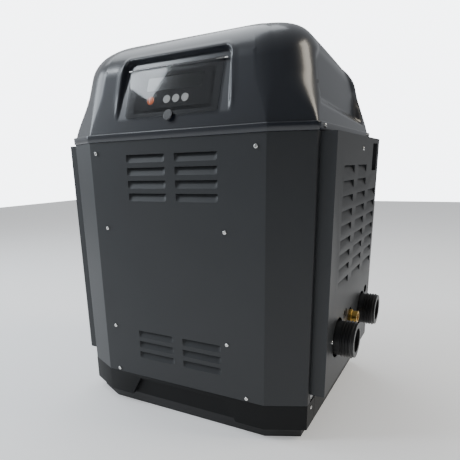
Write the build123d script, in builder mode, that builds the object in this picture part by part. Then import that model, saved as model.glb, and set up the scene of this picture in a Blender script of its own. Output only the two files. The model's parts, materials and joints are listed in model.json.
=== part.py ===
from build123d import *
from math import cos, hypot, radians, sin, tan
import os

# A gas-fired pool heater: a louvred sheet-metal cabinet with cut-off corners, a moulded hood with a
# flap over its controls, and a water header behind the right cover with two threaded tails.
# Millimetres. The origin is on the floor under the cabinet's centre, +Z is up and -Y is the front.

os.makedirs("parts", exist_ok=True)

# ---- Driving dimensions ---------------------------------------------------------------------
half_width = 278.0  # cabinet without its side covers
half_depth = 250.0
corner_x = 78.0  # cut-off corner, along X
corner_y = 37.0  # cut-off corner, along Y
plinth_height = 24.0
seam_height = 78.0  # top of the base, bottom of the panels
panel_top = 595.0
rim_height = 15.0  # the hood's rim, above the panels
hood_height = 178.0  # the hood's crest, above its rim
cover_proud = 29.0  # side cover beyond the cabinet
sheet = 2.0
clearance = 0.4  # between pieces that move past each other
gap = 0.2  # between one sheet and the next

port_mid_y = -4.0
port_height = 196.0
tail_bore_radius = 25.0
tail_thread_radius = 38.0
tail_reach = 39.0  # water tails beyond the right cover

# ---- Values that follow ---------------------------------------------------------------------
rim_top = panel_top + rim_height
crest_height = rim_top + hood_height
flat_half_x = half_width - corner_x  # the flat part of the front
tray_floor = plinth_height + 2.5
post_inset = sheet + gap
wall_inset = post_inset + sheet + gap
cover_x = half_width + cover_proud
cover_half = half_depth - 50.0
cover_bottom = seam_height + 20.0
cover_top = panel_top - 1.0
port_spacing = 1.12 * cover_half  # between the two water tails
port_ys = (port_mid_y - port_spacing / 2, port_mid_y + port_spacing / 2)
tail_end_x = cover_x + tail_reach
tail_hole_radius = tail_thread_radius + 4.0

upward = (Align.CENTER, Align.CENTER, Align.MIN)
downward = (Align.CENTER, Align.CENTER, Align.MAX)
front_face = Plane(origin=(0, -half_depth, 0), x_dir=(1, 0, 0), z_dir=(0, -1, 0))
right_face = Plane(origin=(cover_x, 0, 0), x_dir=(0, 1, 0), z_dir=(1, 0, 0))


def outline_sketch(inset, height):
    """The cabinet's plan outline, a rectangle with cut-off corners, moved in by inset."""
    diagonal = hypot(corner_x, corner_y)
    x_flat = flat_half_x - inset * (diagonal - corner_x) / corner_y
    y_flat = half_depth - corner_y - inset * (diagonal - corner_y) / corner_x
    x_side = half_width - inset
    y_side = half_depth - inset
    with BuildSketch(Plane.XY.offset(height)) as outline:
        with BuildLine():
            Polyline(
                (-x_flat, -y_side),
                (x_flat, -y_side),
                (x_side, -y_flat),
                (x_side, y_flat),
                (x_flat, y_side),
                (-x_flat, y_side),
                (-x_side, y_flat),
                (-x_side, -y_flat),
                close=True,
            )
        make_face()
    return outline.sketch


def outline_wall(inset, thickness, low, high):
    """An upright wall that follows the cabinet's outline."""
    with BuildPart() as wall:
        extrude(outline_sketch(inset, low), amount=high - low)
        extrude(outline_sketch(inset + thickness, low), amount=high - low, mode=Mode.SUBTRACT)
    return wall.part


def on_plane(plane, spots):
    """Locations on a plane for a list of (x, y) spots."""
    return [plane.location * Location((x, y, 0)) for x, y in spots]


def pan_screw(head_radius, head_height, shank_radius, shank_length):
    """A pan-head screw whose head stands on local z = 0, with a cross recess."""
    with BuildPart() as screw:
        with Locations((0, 0, head_height / 2)):
            Cylinder(head_radius, head_height)
        fillet(screw.edges().sort_by(Axis.Z)[-1], head_height * 0.55)
        with Locations((0, 0, head_height)):
            Box(head_radius, 0.9, head_height * 0.8, mode=Mode.SUBTRACT)
            Box(0.9, head_radius, head_height * 0.8, mode=Mode.SUBTRACT)
        with Locations((0, 0, -shank_length / 2)):
            Cylinder(shank_radius, shank_length)
    return screw.part


# ---- Louvres --------------------------------------------------------------------------------
louvre_height = 15.5
louvre_depth = 7.0
louvre_skin = 1.5
louvre_pitch = 25.2
front_louvre_width = 0.465 * flat_half_x
front_louvre_x = 0.29 * flat_half_x
side_louvre_width = 0.44 * cover_half
side_louvre_pitch = 27.6
side_columns = (-0.49 * cover_half, 0.1 * cover_half, 0.69 * cover_half)
side_top_row = panel_top - 58.0
side_lowest = port_height + tail_hole_radius + louvre_height + 30.0
side_row_count = int((side_top_row - side_lowest) / side_louvre_pitch)


def louvre_scoop(width):
    """A flap pressed inward from its lower edge, with a cheek at each end, open along its top."""
    back = -louvre_depth - louvre_skin
    with BuildPart() as scoop:
        with BuildSketch(Plane.YZ):
            with BuildLine():
                Polyline(
                    (-louvre_height, 0),
                    (0, -louvre_depth),
                    (0, back),
                    (-louvre_height, -louvre_skin),
                    close=True,
                )
            make_face()
        extrude(amount=width / 2, both=True)
        for side in (-1, 1):
            with BuildSketch(Plane.YZ.offset(side * (width - louvre_skin) / 2)):
                with BuildLine():
                    Polyline(
                        (-louvre_height, 0),
                        (0, 0),
                        (0, back),
                        (-louvre_height, -louvre_skin),
                        close=True,
                    )
                make_face()
            extrude(amount=louvre_skin / 2, both=True)
    return scoop.part


front_lower_rows = [seam_height + 112.0 - row * louvre_pitch for row in range(3)]
front_upper_rows = [panel_top - 27.4 - row * louvre_pitch for row in range(4)]
louvre_columns = (-front_louvre_x, front_louvre_x)
front_louvres = [(x, z) for x in louvre_columns for z in front_lower_rows + front_upper_rows]
rear_louvres = [(x, z) for x in louvre_columns for z in front_upper_rows]
side_louvres = [
    (y, side_top_row - row * side_louvre_pitch)
    for y in side_columns
    for row in range(side_row_count)
    if not (y == side_columns[2] and row < 2)
]

# ---- Screws of the cabinet ------------------------------------------------------------------
screw_shank_radius = 1.9
screw_hole_radius = 2.2
screw_row_top = panel_top - 22.0
screw_row_middle = panel_top - 177.0
screw_row_lower = seam_height + 115.0
screw_row_base = seam_height + 7.0
rear_screw_x = flat_half_x - 16.0
front_screw_spots = [
    (-rear_screw_x, screw_row_top),
    (rear_screw_x - 3.0, screw_row_top),
    (-rear_screw_x + 15.0, screw_row_middle),
    (flat_half_x - 82.0, screw_row_middle + 3.6),
    (-rear_screw_x + 14.0, screw_row_lower),
    (flat_half_x - 81.0, screw_row_lower + 2.0),
    (-rear_screw_x + 15.0, screw_row_base),
    (rear_screw_x - 22.0, screw_row_base),
]
rear_rows = (screw_row_top, screw_row_middle, screw_row_lower, screw_row_base)
rear_screw_spots = [(x, z) for x in (-rear_screw_x, rear_screw_x) for z in rear_rows]
rail_z = panel_top - 26.0
cover_screw_y = port_spacing / 2 + 51.5
cover_screw_z = seam_height + 124.0
cover_screw_spots = [(15, rail_z), (-cover_screw_y, cover_screw_z), (cover_screw_y, cover_screw_z)]
base_screw_spots = [(-(half_depth - 58.0), seam_height - 12.0)]
rim_screw_y = half_depth - 64.5
rim_screw_spots = [(-rim_screw_y, rim_top - 6.5), (rim_screw_y, rim_top - 6.5)]

# ---- Plinth ---------------------------------------------------------------------------------
plinth_inset = 14.0
plinth_web = 40.0
anchor_x = half_width - 68.0
anchor_y = half_depth - 60.0
anchor_radius = 5.5
anchor_pad = 64.0
anchor_spots = [(x, y) for x in (-anchor_x, anchor_x) for y in (-anchor_y, anchor_y)]

with BuildPart() as plinth:
    extrude(outline_sketch(plinth_inset, 0), amount=plinth_height)
    extrude(outline_sketch(plinth_inset + plinth_web, 0), amount=plinth_height, mode=Mode.SUBTRACT)
    with Locations(*[(x, y, plinth_height / 2) for x, y in anchor_spots]):
        Box(anchor_pad, anchor_pad, plinth_height)
        Cylinder(anchor_radius, plinth_height, mode=Mode.SUBTRACT)
    extrude(outline_sketch(plinth_inset, 0), amount=plinth_height, mode=Mode.INTERSECT)
plinth.part.label = "plinth"
export_step(plinth.part, "parts/plinth.step")

# ---- Base tray ------------------------------------------------------------------------------
kick_half_top = flat_half_x - 90.0
kick_half_bottom = flat_half_x - 63.0
kick_depth = 12.0
tray_notch = kick_depth + 8.0
tray_notch_half = kick_half_bottom + 13.0

with BuildPart() as base_tray:
    extrude(outline_sketch(wall_inset, plinth_height), amount=seam_height - plinth_height)
    with Locations((0, -half_depth, seam_height)):
        Box(2 * tray_notch_half, 2 * (wall_inset + tray_notch), 2 * seam_height, mode=Mode.SUBTRACT)
    offset(amount=-sheet, openings=base_tray.faces().sort_by(Axis.Z)[-1], kind=Kind.INTERSECTION)
    with Locations(*[(x, y, plinth_height) for x, y in anchor_spots]):
        Cylinder(anchor_radius, 20, mode=Mode.SUBTRACT)
    with Locations(*[Location((0, y, z), (0, 90, 0)) for y, z in base_screw_spots]):
        Cylinder(screw_shank_radius, 4 * half_width, mode=Mode.SUBTRACT)
base_tray.part.label = "base_tray"
export_step(base_tray.part, "parts/base_tray.step")

# ---- Base facia -----------------------------------------------------------------------------
facia_back_y = -half_depth + 85.0
kick_top = seam_height - 8.0


def kick_recess(grow):
    """The tapered toe recess in the front of the base, grown by a wall thickness."""
    with BuildPart() as recess:
        with BuildSketch(front_face):
            with BuildLine():
                Polyline(
                    (-kick_half_bottom - grow, plinth_height - 1),
                    (kick_half_bottom + grow, plinth_height - 1),
                    (kick_half_top + grow, kick_top + grow),
                    (-kick_half_top - grow, kick_top + grow),
                    close=True,
                )
            make_face()
        extrude(amount=-kick_depth - grow)
    return recess.part


def facia_form(inset):
    """The base's outer form, or its hollow when inset by the sheet's thickness."""
    with BuildPart() as form:
        extrude(outline_sketch(inset, plinth_height), amount=seam_height - plinth_height)
        add(kick_recess(inset), mode=Mode.SUBTRACT)
    return form.part


with BuildPart() as base_facia:
    add(facia_form(0))
    add(facia_form(sheet), mode=Mode.SUBTRACT)
    with Locations((0, facia_back_y + half_depth, seam_height / 2)):
        Box(4 * half_width, 2 * half_depth, 2 * seam_height, mode=Mode.SUBTRACT)
    with Locations(*[Location((0, y, z), (0, 90, 0)) for y, z in base_screw_spots]):
        Cylinder(screw_hole_radius, 4 * half_width, mode=Mode.SUBTRACT)
base_facia.part.label = "base_facia"
export_step(base_facia.part, "parts/base_facia.step")

# ---- Rear skirt -----------------------------------------------------------------------------
with BuildPart() as rear_skirt:
    add(outline_wall(0, sheet, plinth_height, seam_height))
    with Locations((0, facia_back_y + 1 - half_depth, seam_height / 2)):
        Box(4 * half_width, 2 * half_depth, 2 * seam_height, mode=Mode.SUBTRACT)
rear_skirt.part.label = "rear_skirt"
export_step(rear_skirt.part, "parts/rear_skirt.step")


# ---- Front and rear panels ------------------------------------------------------------------
return_y = -half_depth + 55.0  # where the panel's side return ends


def pressed_panel(louvres, screws):
    """A front panel folded round both corners, with its louvres and screw holes."""
    scoop = louvre_scoop(front_louvre_width)
    with BuildPart() as panel:
        add(outline_wall(0, sheet, seam_height, panel_top))
        with Locations((0, return_y + half_depth, panel_top / 2)):
            Box(4 * half_width, 2 * half_depth, 2 * panel_top, mode=Mode.SUBTRACT)
        with Locations(*on_plane(front_face, [(x, z - louvre_height / 2) for x, z in louvres])):
            Box(front_louvre_width, louvre_height, 3 * sheet, mode=Mode.SUBTRACT)
        with Locations(*on_plane(front_face, louvres)):
            add(scoop)
        with Locations(*on_plane(front_face, screws)):
            Cylinder(screw_hole_radius, 3 * sheet, mode=Mode.SUBTRACT)
    return panel.part


with BuildPart() as front_panel:
    add(pressed_panel(front_louvres, front_screw_spots))
front_panel.part.label = "front_panel"
export_step(front_panel.part, "parts/front_panel.step")

with BuildPart() as rear_panel:
    mirror(pressed_panel(rear_louvres, rear_screw_spots), about=Plane.XZ)
rear_panel.part.label = "rear_panel"
export_step(rear_panel.part, "parts/rear_panel.step")

# ---- Corner posts ---------------------------------------------------------------------------
post_flange_x = flat_half_x - 90.0
post_side_y = half_depth - 90.0
post_top = panel_top - 12.0
kick_notch = kick_half_bottom + 11.0

with BuildPart() as corner_posts:
    add(outline_wall(post_inset, sheet, tray_floor, post_top))
    with Locations((0, 0, post_top / 2)):
        Box(2 * post_flange_x, 4 * half_depth, 2 * post_top, mode=Mode.SUBTRACT)
        Box(4 * half_width, 2 * post_side_y, 2 * post_top, mode=Mode.SUBTRACT)
    with Locations((0, 0, 0)):
        Box(2 * kick_notch, 4 * half_depth, 2 * seam_height + 4, mode=Mode.SUBTRACT)
    with Locations(*on_plane(front_face, front_screw_spots)):
        Cylinder(screw_shank_radius, 40, mode=Mode.SUBTRACT)
    with Locations(*on_plane(front_face.offset(-2 * half_depth), rear_screw_spots)):
        Cylinder(screw_shank_radius, 40, mode=Mode.SUBTRACT)
    with Locations(*[Location((0, y, z), (0, 90, 0)) for y, z in base_screw_spots]):
        Cylinder(screw_shank_radius, 4 * half_width, mode=Mode.SUBTRACT)
corner_posts.part.label = "corner_posts"
export_step(corner_posts.part, "parts/corner_posts.step")

# ---- Top collar -----------------------------------------------------------------------------
collar_top = rim_top - 4.0
collar_flange = 30.0

with BuildPart() as top_collar:
    add(outline_wall(post_inset, sheet, post_top, collar_top))
    add(outline_wall(post_inset, collar_flange, post_top, post_top + sheet))
    with Locations(*[Location((0, y, z), (0, 90, 0)) for y, z in rim_screw_spots]):
        Cylinder(screw_shank_radius, 4 * half_width, mode=Mode.SUBTRACT)
top_collar.part.label = "top_collar"
export_step(top_collar.part, "parts/top_collar.step")

# ---- Side rails and cover stays -------------------------------------------------------------
rail_x = half_width - post_inset - sheet
rail_height = 26.0
stay_half = 12.0
stay_out = cover_x - sheet


def mirrored_pair(piece):
    """A piece for the right-hand side and its mirror image for the left."""
    with BuildPart() as pair:
        add(piece)
        mirror(piece, about=Plane.YZ)
    return pair.part


with BuildPart() as side_rails:
    with Locations((rail_x - sheet / 2, 0, rail_z), (-rail_x + sheet / 2, 0, rail_z)):
        Box(sheet, 2 * half_depth - 100, rail_height)
    with Locations(Location((0, cover_screw_spots[0][0], rail_z), (0, 90, 0))):
        Cylinder(screw_shank_radius, 4 * half_width, mode=Mode.SUBTRACT)
side_rails.part.label = "side_rails"
export_step(side_rails.part, "parts/side_rails.step")


def cover_stay(spot):
    """A hat-shaped bracket that holds a cover's screw out from the frame."""
    y, z = spot
    foot_x = rail_x if z > rail_z - 1 else half_width - post_inset
    with BuildPart() as stay:
        with Locations(((foot_x + stay_out) / 2, y, z)):
            Box(stay_out - foot_x, 2 * stay_half, 2 * stay_half)
        with Locations(((foot_x + stay_out) / 2, y, z)):
            Box(stay_out - foot_x - 2 * sheet, 2 * stay_half - 2 * sheet, 4 * stay_half, mode=Mode.SUBTRACT)
        with Locations(Location((stay_out, y, z), (0, 90, 0))):
            Cylinder(screw_shank_radius, 30, mode=Mode.SUBTRACT)
    return stay.part


with BuildPart() as cover_stays:
    for spot in cover_screw_spots:
        add(mirrored_pair(cover_stay(spot)))
cover_stays.part.label = "cover_stays"
export_step(cover_stays.part, "parts/cover_stays.step")

# ---- Side covers ----------------------------------------------------------------------------
hold_y = 0.75 * cover_half
hold_width = 52.0
hold_low = panel_top - 72.0
hold_high = panel_top - 12.0
hold_depth = 24.0
gas_y = port_mid_y - 8.0
gas_height = port_height + 15.0
gas_hole_radius = 20.0
cable_slots = [(port_mid_y - 56.0, port_height + 36.0), (port_ys[1] + 47.0, port_height + 37.0)]
slot_length = 30.0
slot_height = 19.0


def side_cover():
    """A box-shaped cover for the right-hand side: outer face, four returns, louvres, hand-hold."""
    height = cover_top - cover_bottom
    middle = (cover_top + cover_bottom) / 2
    scoop = louvre_scoop(side_louvre_width)
    with BuildPart() as cover:
        with Locations((half_width + gap + (cover_proud - gap) / 2, 0, middle)):
            Box(cover_proud - gap, 2 * cover_half, height)
        with Locations((half_width + (cover_proud - sheet) / 2 - 1, 0, middle)):
            Box(cover_proud - sheet + 2, 2 * cover_half - 2 * sheet, height - 2 * sheet, mode=Mode.SUBTRACT)
        with Locations(*on_plane(right_face, [(y, z - louvre_height / 2) for y, z in side_louvres])):
            Box(side_louvre_width, louvre_height, 3 * sheet, mode=Mode.SUBTRACT)
        with Locations(*on_plane(right_face, side_louvres)):
            add(scoop)
        with Locations((cover_x - hold_depth / 2, hold_y, (hold_low + hold_high) / 2)):
            Box(hold_depth, hold_width + 2 * sheet, hold_high - hold_low + 2 * sheet)
        with Locations((cover_x - hold_depth / 2 + sheet, hold_y, (hold_low + hold_high) / 2)):
            Box(hold_depth, hold_width, hold_high - hold_low, mode=Mode.SUBTRACT)
        with Locations(*on_plane(right_face, cover_screw_spots)):
            Cylinder(screw_hole_radius, 3 * sheet, mode=Mode.SUBTRACT)
    return cover.part


with BuildPart() as right_side_panel:
    add(side_cover())
    with Locations(*on_plane(right_face, [(y, port_height) for y in port_ys])):
        Cylinder(tail_hole_radius, 40, mode=Mode.SUBTRACT)
    with Locations(*on_plane(right_face, [(gas_y, gas_height)])):
        Cylinder(gas_hole_radius, 40, mode=Mode.SUBTRACT)
    with BuildSketch(right_face):
        with Locations(*cable_slots):
            SlotOverall(slot_length, slot_height)
    extrude(amount=-2 * sheet, mode=Mode.SUBTRACT)
right_side_panel.part.label = "right_side_panel"
export_step(right_side_panel.part, "parts/right_side_panel.step")

with BuildPart() as left_side_panel:
    mirror(side_cover(), about=Plane.YZ)
left_side_panel.part.label = "left_side_panel"
export_step(left_side_panel.part, "parts/left_side_panel.step")

# ---- Cabinet screws -------------------------------------------------------------------------
panel_screw = pan_screw(4.0, 2.4, screw_shank_radius, 12.0)
rear_face = Plane(origin=(0, half_depth, 0), x_dir=(-1, 0, 0), z_dir=(0, 1, 0))


def side_spots(x, spots):
    """Locations on both side faces at a distance x from the middle."""
    right = Plane(origin=(x, 0, 0), x_dir=(0, 1, 0), z_dir=(1, 0, 0))
    left = Plane(origin=(-x, 0, 0), x_dir=(0, -1, 0), z_dir=(-1, 0, 0))
    return on_plane(right, spots) + on_plane(left, [(-y, z) for y, z in spots])


# ---- Hood -----------------------------------------------------------------------------------
rim_proud = 3.0
hood_wall = 3.5
hood_lean = radians(13)
hood_slope = radians(8)
hood_step = 2.0  # walls stand this far inside the cabinet's faces
hood_flat_top = crest_height + 4
crest_y = -half_depth + 115.0
side_round = 65.0
front_round = 90.0
rear_round = 45.0
window_lean = radians(20.4)
window_low = rim_top + 26.0
window_front_y = -half_depth + 3.5
floor_below_pane = 4.5
recess_half_low = 128.0
recess_half_high = 118.0
recess_length = hood_height - 61.0
scoop_lean = radians(8)
scoop_x = half_width - 16.0
scoop_low = rim_top + 10.0
scoop_front = -half_depth + 78.0
scoop_rear = half_depth - 54.0

window_plane = Plane(
    origin=(0, window_front_y, window_low), x_dir=(1, 0, 0), z_dir=(0, -cos(window_lean), sin(window_lean))
)
scoop_plane = Plane(
    origin=(scoop_x, 0, scoop_low), x_dir=(0, 1, 0), z_dir=(cos(scoop_lean), 0, sin(scoop_lean))
)


def wall_at(half, height, inset):
    """Half extent of a leaning hood wall at a height."""
    return half - hood_step - (height - rim_top) * tan(hood_lean) - inset / cos(hood_lean)


def top_line(y, inset):
    """Height of the hood's sloping top above a place from front to rear."""
    return crest_height + 1 - (y - crest_y) * tan(hood_slope) - inset / cos(hood_slope)


def front_corner(inset, front):
    """Where the sloping top meets the leaning front (or rear) wall."""
    side = -1 if front else 1
    low = rim_top
    y = side * wall_at(half_depth, low, inset)
    step = tan(hood_lean)
    rise = (top_line(y, inset) - low) / (1 - side * step * tan(hood_slope))
    return (y - side * rise * step, low + rise)


def end_scoop(inset):
    """What is cut from the hood's right end to leave its shallow scoop, grown by inset."""
    with BuildPart() as scoop:
        with BuildSketch(scoop_plane.offset(-inset)):
            with BuildLine():
                Polyline(
                    (scoop_front, 14),
                    (scoop_front, 86),
                    (scoop_front + 60, 136),
                    (scoop_rear - 66, 122),
                    (scoop_rear, 78),
                    (scoop_rear, -3),
                    close=True,
                )
            corners = make_face().vertices()
            fillet(corners, 14)
            offset(amount=inset)
        extrude(amount=80)
    return scoop.part


def hood_volume(inset):
    """The hood's outer form moved in by inset, with its recess and end scoops cut back to match."""
    low = rim_top - 10
    with BuildPart() as volume:
        with BuildSketch(Plane.XZ):
            with BuildLine():
                top = hood_flat_top - inset
                Polyline(
                    (-wall_at(half_width, low, inset), low),
                    (wall_at(half_width, low, inset), low),
                    (wall_at(half_width, top, inset), top),
                    (-wall_at(half_width, top, inset), top),
                    close=True,
                )
            corners = make_face().vertices().sort_by(Axis.Y)[-2:]
            fillet(corners, side_round - inset)
        extrude(amount=2 * half_depth, both=True)
        with BuildSketch(Plane.YZ):
            with BuildLine():
                Polyline(
                    (-wall_at(half_depth, low, inset), low),
                    (wall_at(half_depth, low, inset), low),
                    front_corner(inset, False),
                    front_corner(inset, True),
                    close=True,
                )
            profile = make_face().vertices().sort_by(Axis.Y)
            fillet(profile[-2], rear_round - inset)
            fillet(vertices().sort_by(Axis.Y)[-1], front_round - inset)
        extrude(amount=2 * half_width, both=True, mode=Mode.INTERSECT)
        diagonal = hypot(corner_x, corner_y)
        for x_side in (-1, 1):
            for y_side in (-1, 1):
                nose = (
                    x_side * (half_width - corner_x),
                    y_side * half_depth,
                    rim_top + hood_step / tan(hood_lean),
                )
                facing = Vector(
                    x_side * corner_y / diagonal * cos(hood_lean),
                    y_side * corner_x / diagonal * cos(hood_lean),
                    sin(hood_lean),
                )
                corner_plane = Plane(origin=nose, z_dir=facing)
                corner_plane = corner_plane.offset(-inset - 2 * hood_step * cos(hood_lean))
                split(bisect_by=corner_plane, keep=Keep.BOTTOM)
        extrude(outline_sketch(inset - rim_proud, panel_top), amount=rim_top - panel_top - inset)
        with BuildSketch(window_plane.offset(-floor_below_pane - inset)):
            with BuildLine():
                Polyline(
                    (-recess_half_low - inset, -30),
                    (recess_half_low + inset, -30),
                    (recess_half_high + inset, recess_length + inset),
                    (-recess_half_high - inset, recess_length + inset),
                    close=True,
                )
            corners = make_face().vertices().sort_by(Axis.Y)[-2:]
            fillet(corners, 12 + inset)
        extrude(amount=80, mode=Mode.SUBTRACT)
        add(end_scoop(inset), mode=Mode.SUBTRACT)
        mirror(end_scoop(inset), about=Plane.YZ, mode=Mode.SUBTRACT)
    return volume.part


hinge_v = recess_length - 20.0  # flap hinge, up the window plane
hinge_w = -1.5  # flap hinge, out of the window plane
pane_half = recess_half_high - 14.0
fascia_half = pane_half - 16.0
fascia_low = 10.0
fascia_high = hinge_v - 9.0
fascia_middle = (fascia_low + fascia_high) / 2
fascia_size = fascia_high - fascia_low
fascia_lip = 6.0
flue_half = 80.0
flue_low = rim_top + 20.0
flue_high = rim_top + 80.0
pin_radius = 1.5
lug_near = pane_half + clearance + 0.2
lug_far = lug_near + 6.0


def window_box(x, v, w, size_x, size_v, size_w):
    """A block placed by its centre in the window's own plane."""
    with BuildPart(window_plane.offset(w)) as block:
        with Locations((x, v)):
            Box(size_x, size_v, size_w)
    return block.part


with BuildPart() as hood:
    add(hood_volume(0))
    add(hood_volume(hood_wall), mode=Mode.SUBTRACT)
    add(
        window_box(0, fascia_middle, -floor_below_pane, 2 * fascia_half, fascia_size, 40),
        mode=Mode.SUBTRACT,
    )
    for side in (-1, 1):
        middle = side * (lug_near + lug_far) / 2
        add(window_box(middle, hinge_v, (hinge_w - floor_below_pane) / 2, lug_far - lug_near, 8, 9))
    pin_line = window_plane.location * Location((0, hinge_v, hinge_w), (0, 90, 0))
    with Locations(pin_line):
        Cylinder(pin_radius, 2 * lug_far, mode=Mode.SUBTRACT)
    with Locations((0, half_depth, (flue_low + flue_high) / 2)):
        Box(2 * flue_half, 90, flue_high - flue_low, mode=Mode.SUBTRACT)
    with Locations(*side_spots(half_width, rim_screw_spots)):
        Cylinder(screw_hole_radius, 20, mode=Mode.SUBTRACT)
hood.part.label = "hood"
export_step(hood.part, "parts/hood.step")

with BuildPart() as cabinet_screws:
    with Locations(*on_plane(front_face, front_screw_spots)):
        add(panel_screw)
    with Locations(*on_plane(rear_face, rear_screw_spots)):
        add(panel_screw)
    with Locations(*side_spots(cover_x, cover_screw_spots)):
        add(panel_screw)
    with Locations(*side_spots(half_width, base_screw_spots)):
        add(panel_screw)
    with Locations(*side_spots(half_width + rim_proud, rim_screw_spots)):
        add(panel_screw)
cabinet_screws.part.label = "cabinet_screws"
export_step(cabinet_screws.part, "parts/cabinet_screws.step")

# ---- Control window -------------------------------------------------------------------------
pane_thickness = 3.0
pane_low = 0.0
barrel_radius = 2.6
pin_running_fit = 0.05
tab_radius = 10.0
tab_thickness = 2.2

with BuildPart() as control_window:
    with BuildSketch(window_plane.offset(-pane_thickness)):
        with Locations((0, (pane_low + hinge_v) / 2)):
            Rectangle(2 * pane_half, hinge_v - pane_low)
        fillet(vertices().sort_by(Axis.Y)[:2], 6)
    extrude(amount=pane_thickness)
    with Locations(pin_line):
        Cylinder(barrel_radius, 2 * pane_half)
        Cylinder(pin_radius + pin_running_fit, 2 * pane_half, mode=Mode.SUBTRACT)
control_window.part.label = "control_window"
export_step(control_window.part, "parts/control_window.step")

with BuildPart() as thumb_tab:
    with BuildSketch(window_plane):
        Circle(tab_radius)
    extrude(amount=tab_thickness)
    fillet(thumb_tab.faces().sort_by(Axis.Y)[0].edges(), 0.8)
thumb_tab.part.label = "thumb_tab"
export_step(thumb_tab.part, "parts/thumb_tab.step")

with BuildPart() as hinge_pins:
    for side in (-1, 1):
        pin_middle = side * (lug_far - 12.0)
        with Locations(window_plane.location * Location((pin_middle, hinge_v, hinge_w), (0, 90, 0))):
            Cylinder(pin_radius, 24.0)
hinge_pins.part.label = "hinge_pins"
export_step(hinge_pins.part, "parts/hinge_pins.step")

# ---- Controls behind the flap ---------------------------------------------------------------
button_radius = 7.5
button_v = fascia_low + 0.3077 * fascia_size
button_names = ("mode_button", "down_button", "up_button", "start_button")
button_xs = (-49.5, -12.0, 8.5, 29.0)
button_top = -3.7
button_rim = 1.5
fascia_thickness = 3.0
fascia_face = -floor_below_pane
fascia_back = fascia_face - hood_wall - 2.0
display_half = 62.0
display_v = fascia_low + 0.7179 * fascia_size
display_half_v = fascia_size / 6
board_w = -19.0
board_thickness = 1.6

with BuildPart() as control_fascia:
    with BuildSketch(window_plane.offset(fascia_back)):
        with Locations((0, fascia_middle)):
            Rectangle(2 * (fascia_half + fascia_lip), fascia_size + 2 * fascia_lip)
    extrude(amount=2.0)
    with BuildSketch(window_plane.offset(fascia_back)):
        with Locations((0, fascia_middle)):
            Rectangle(2 * fascia_half, fascia_size)
    extrude(amount=fascia_face - fascia_back)
    with BuildSketch(window_plane.offset(fascia_back)):
        with Locations((0, fascia_middle)):
            Rectangle(2 * fascia_half - 6, fascia_size - 6)
    extrude(amount=fascia_face - fascia_back - fascia_thickness, mode=Mode.SUBTRACT)
    with BuildSketch(window_plane.offset(fascia_back)):
        with Locations(*[(x, button_v) for x in button_xs]):
            Circle(button_radius + clearance)
        with Locations((0, display_v)):
            Rectangle(2 * display_half, 2 * display_half_v)
    extrude(amount=20, mode=Mode.SUBTRACT)
control_fascia.part.label = "control_fascia"
export_step(control_fascia.part, "parts/control_fascia.step")

for button_name, button_x in zip(button_names, button_xs):
    with BuildPart() as button:
        with BuildSketch(window_plane.offset(button_top - 5.0)):
            with Locations((button_x, button_v)):
                Circle(button_radius)
        extrude(amount=5.0)
        with BuildSketch(window_plane.offset(fascia_face - fascia_thickness - 0.4 - button_rim)):
            with Locations((button_x, button_v)):
                Circle(button_radius + 1.5)
        extrude(amount=button_rim)
        with BuildSketch(window_plane.offset(board_w + 4.0)):
            with Locations((button_x, button_v)):
                Circle(2.0)
        extrude(amount=8.0)
    button.part.label = button_name
    export_step(button.part, f"parts/{button_name}.step")

with BuildPart() as display_module:
    with BuildSketch(window_plane.offset(board_w)):
        with Locations((0, display_v)):
            Rectangle(2 * display_half, 2 * display_half_v)
    extrude(amount=fascia_face - board_w - 0.5)
display_module.part.label = "display_module"
export_step(display_module.part, "parts/display_module.step")

with BuildPart() as control_board:
    with BuildSketch(window_plane.offset(board_w - board_thickness)):
        with Locations((0, fascia_middle)):
            Rectangle(2 * fascia_half - 8, fascia_size - 8)
    extrude(amount=board_thickness)
    with BuildSketch(window_plane.offset(board_w)):
        with Locations(*[(x, button_v) for x in button_xs]):
            Rectangle(6, 6)
    extrude(amount=2.5)
    with BuildSketch(window_plane.offset(board_w)):
        with Locations(*[(x, v) for x in (-78, 78) for v in (fascia_low + 10, fascia_high - 10)]):
            Circle(3)
    extrude(amount=fascia_face - fascia_thickness - board_w)
control_board.part.label = "control_board"
export_step(control_board.part, "parts/control_board.step")

# ---- Water side -----------------------------------------------------------------------------
chamber_half_y = half_depth - 110.0
tube_pitch = 30.0
tube_radius = 10.0
fin_radius = 14.0
tube_count = int(2 * (chamber_half_y - fin_radius) / tube_pitch) + 1
sheet_x = half_width - 80.0  # inner face of the tube sheets
sheet_plate = 4.0
gasket = 2.0
header_x = sheet_x + sheet_plate + gasket
header_x_middle = header_x + 26.0
header_far = half_width - 16.0
header_half_y = port_spacing / 2 + 38.0
header_half_z = 39.0
header_wall = 5.0
header_inner_y = header_half_y - 12.0
header_inner_z = header_half_z - header_wall
drain_ys = (port_ys[0] + 16.0, port_ys[1] - 18.0)
pressure_y = port_ys[0] + 6.0
limit_y = port_mid_y - 36.0
sensor_y = port_mid_y + 64.0
fitting_ys = (pressure_y, limit_y, sensor_y)
tube_ys = [port_mid_y + (index - (tube_count - 1) / 2) * tube_pitch for index in range(tube_count)]
bypass_radius = 15.0
divider = 6.0
header_bolt_radius = 3.0
bolt_spots = [
    (port_mid_y + side_y * (header_half_y - 6), port_height + side_z * (header_half_z + 7))
    for side_y in (-1, 0, 1)
    for side_z in (-1, 1)
]


def axis_x(y, z):
    """A line along X through a place."""
    return Axis((0, y, z), (1, 0, 0))


def turned(y, z, points):
    """A piece turned about a line along X, from (x, radius) points."""
    with BuildPart() as piece:
        with BuildSketch(Plane(origin=(0, y, z), x_dir=(1, 0, 0), z_dir=(0, -1, 0))):
            with BuildLine():
                Polyline(*points, close=True)
            make_face()
        revolve(axis=axis_x(y, z))
    return piece.part


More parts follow.
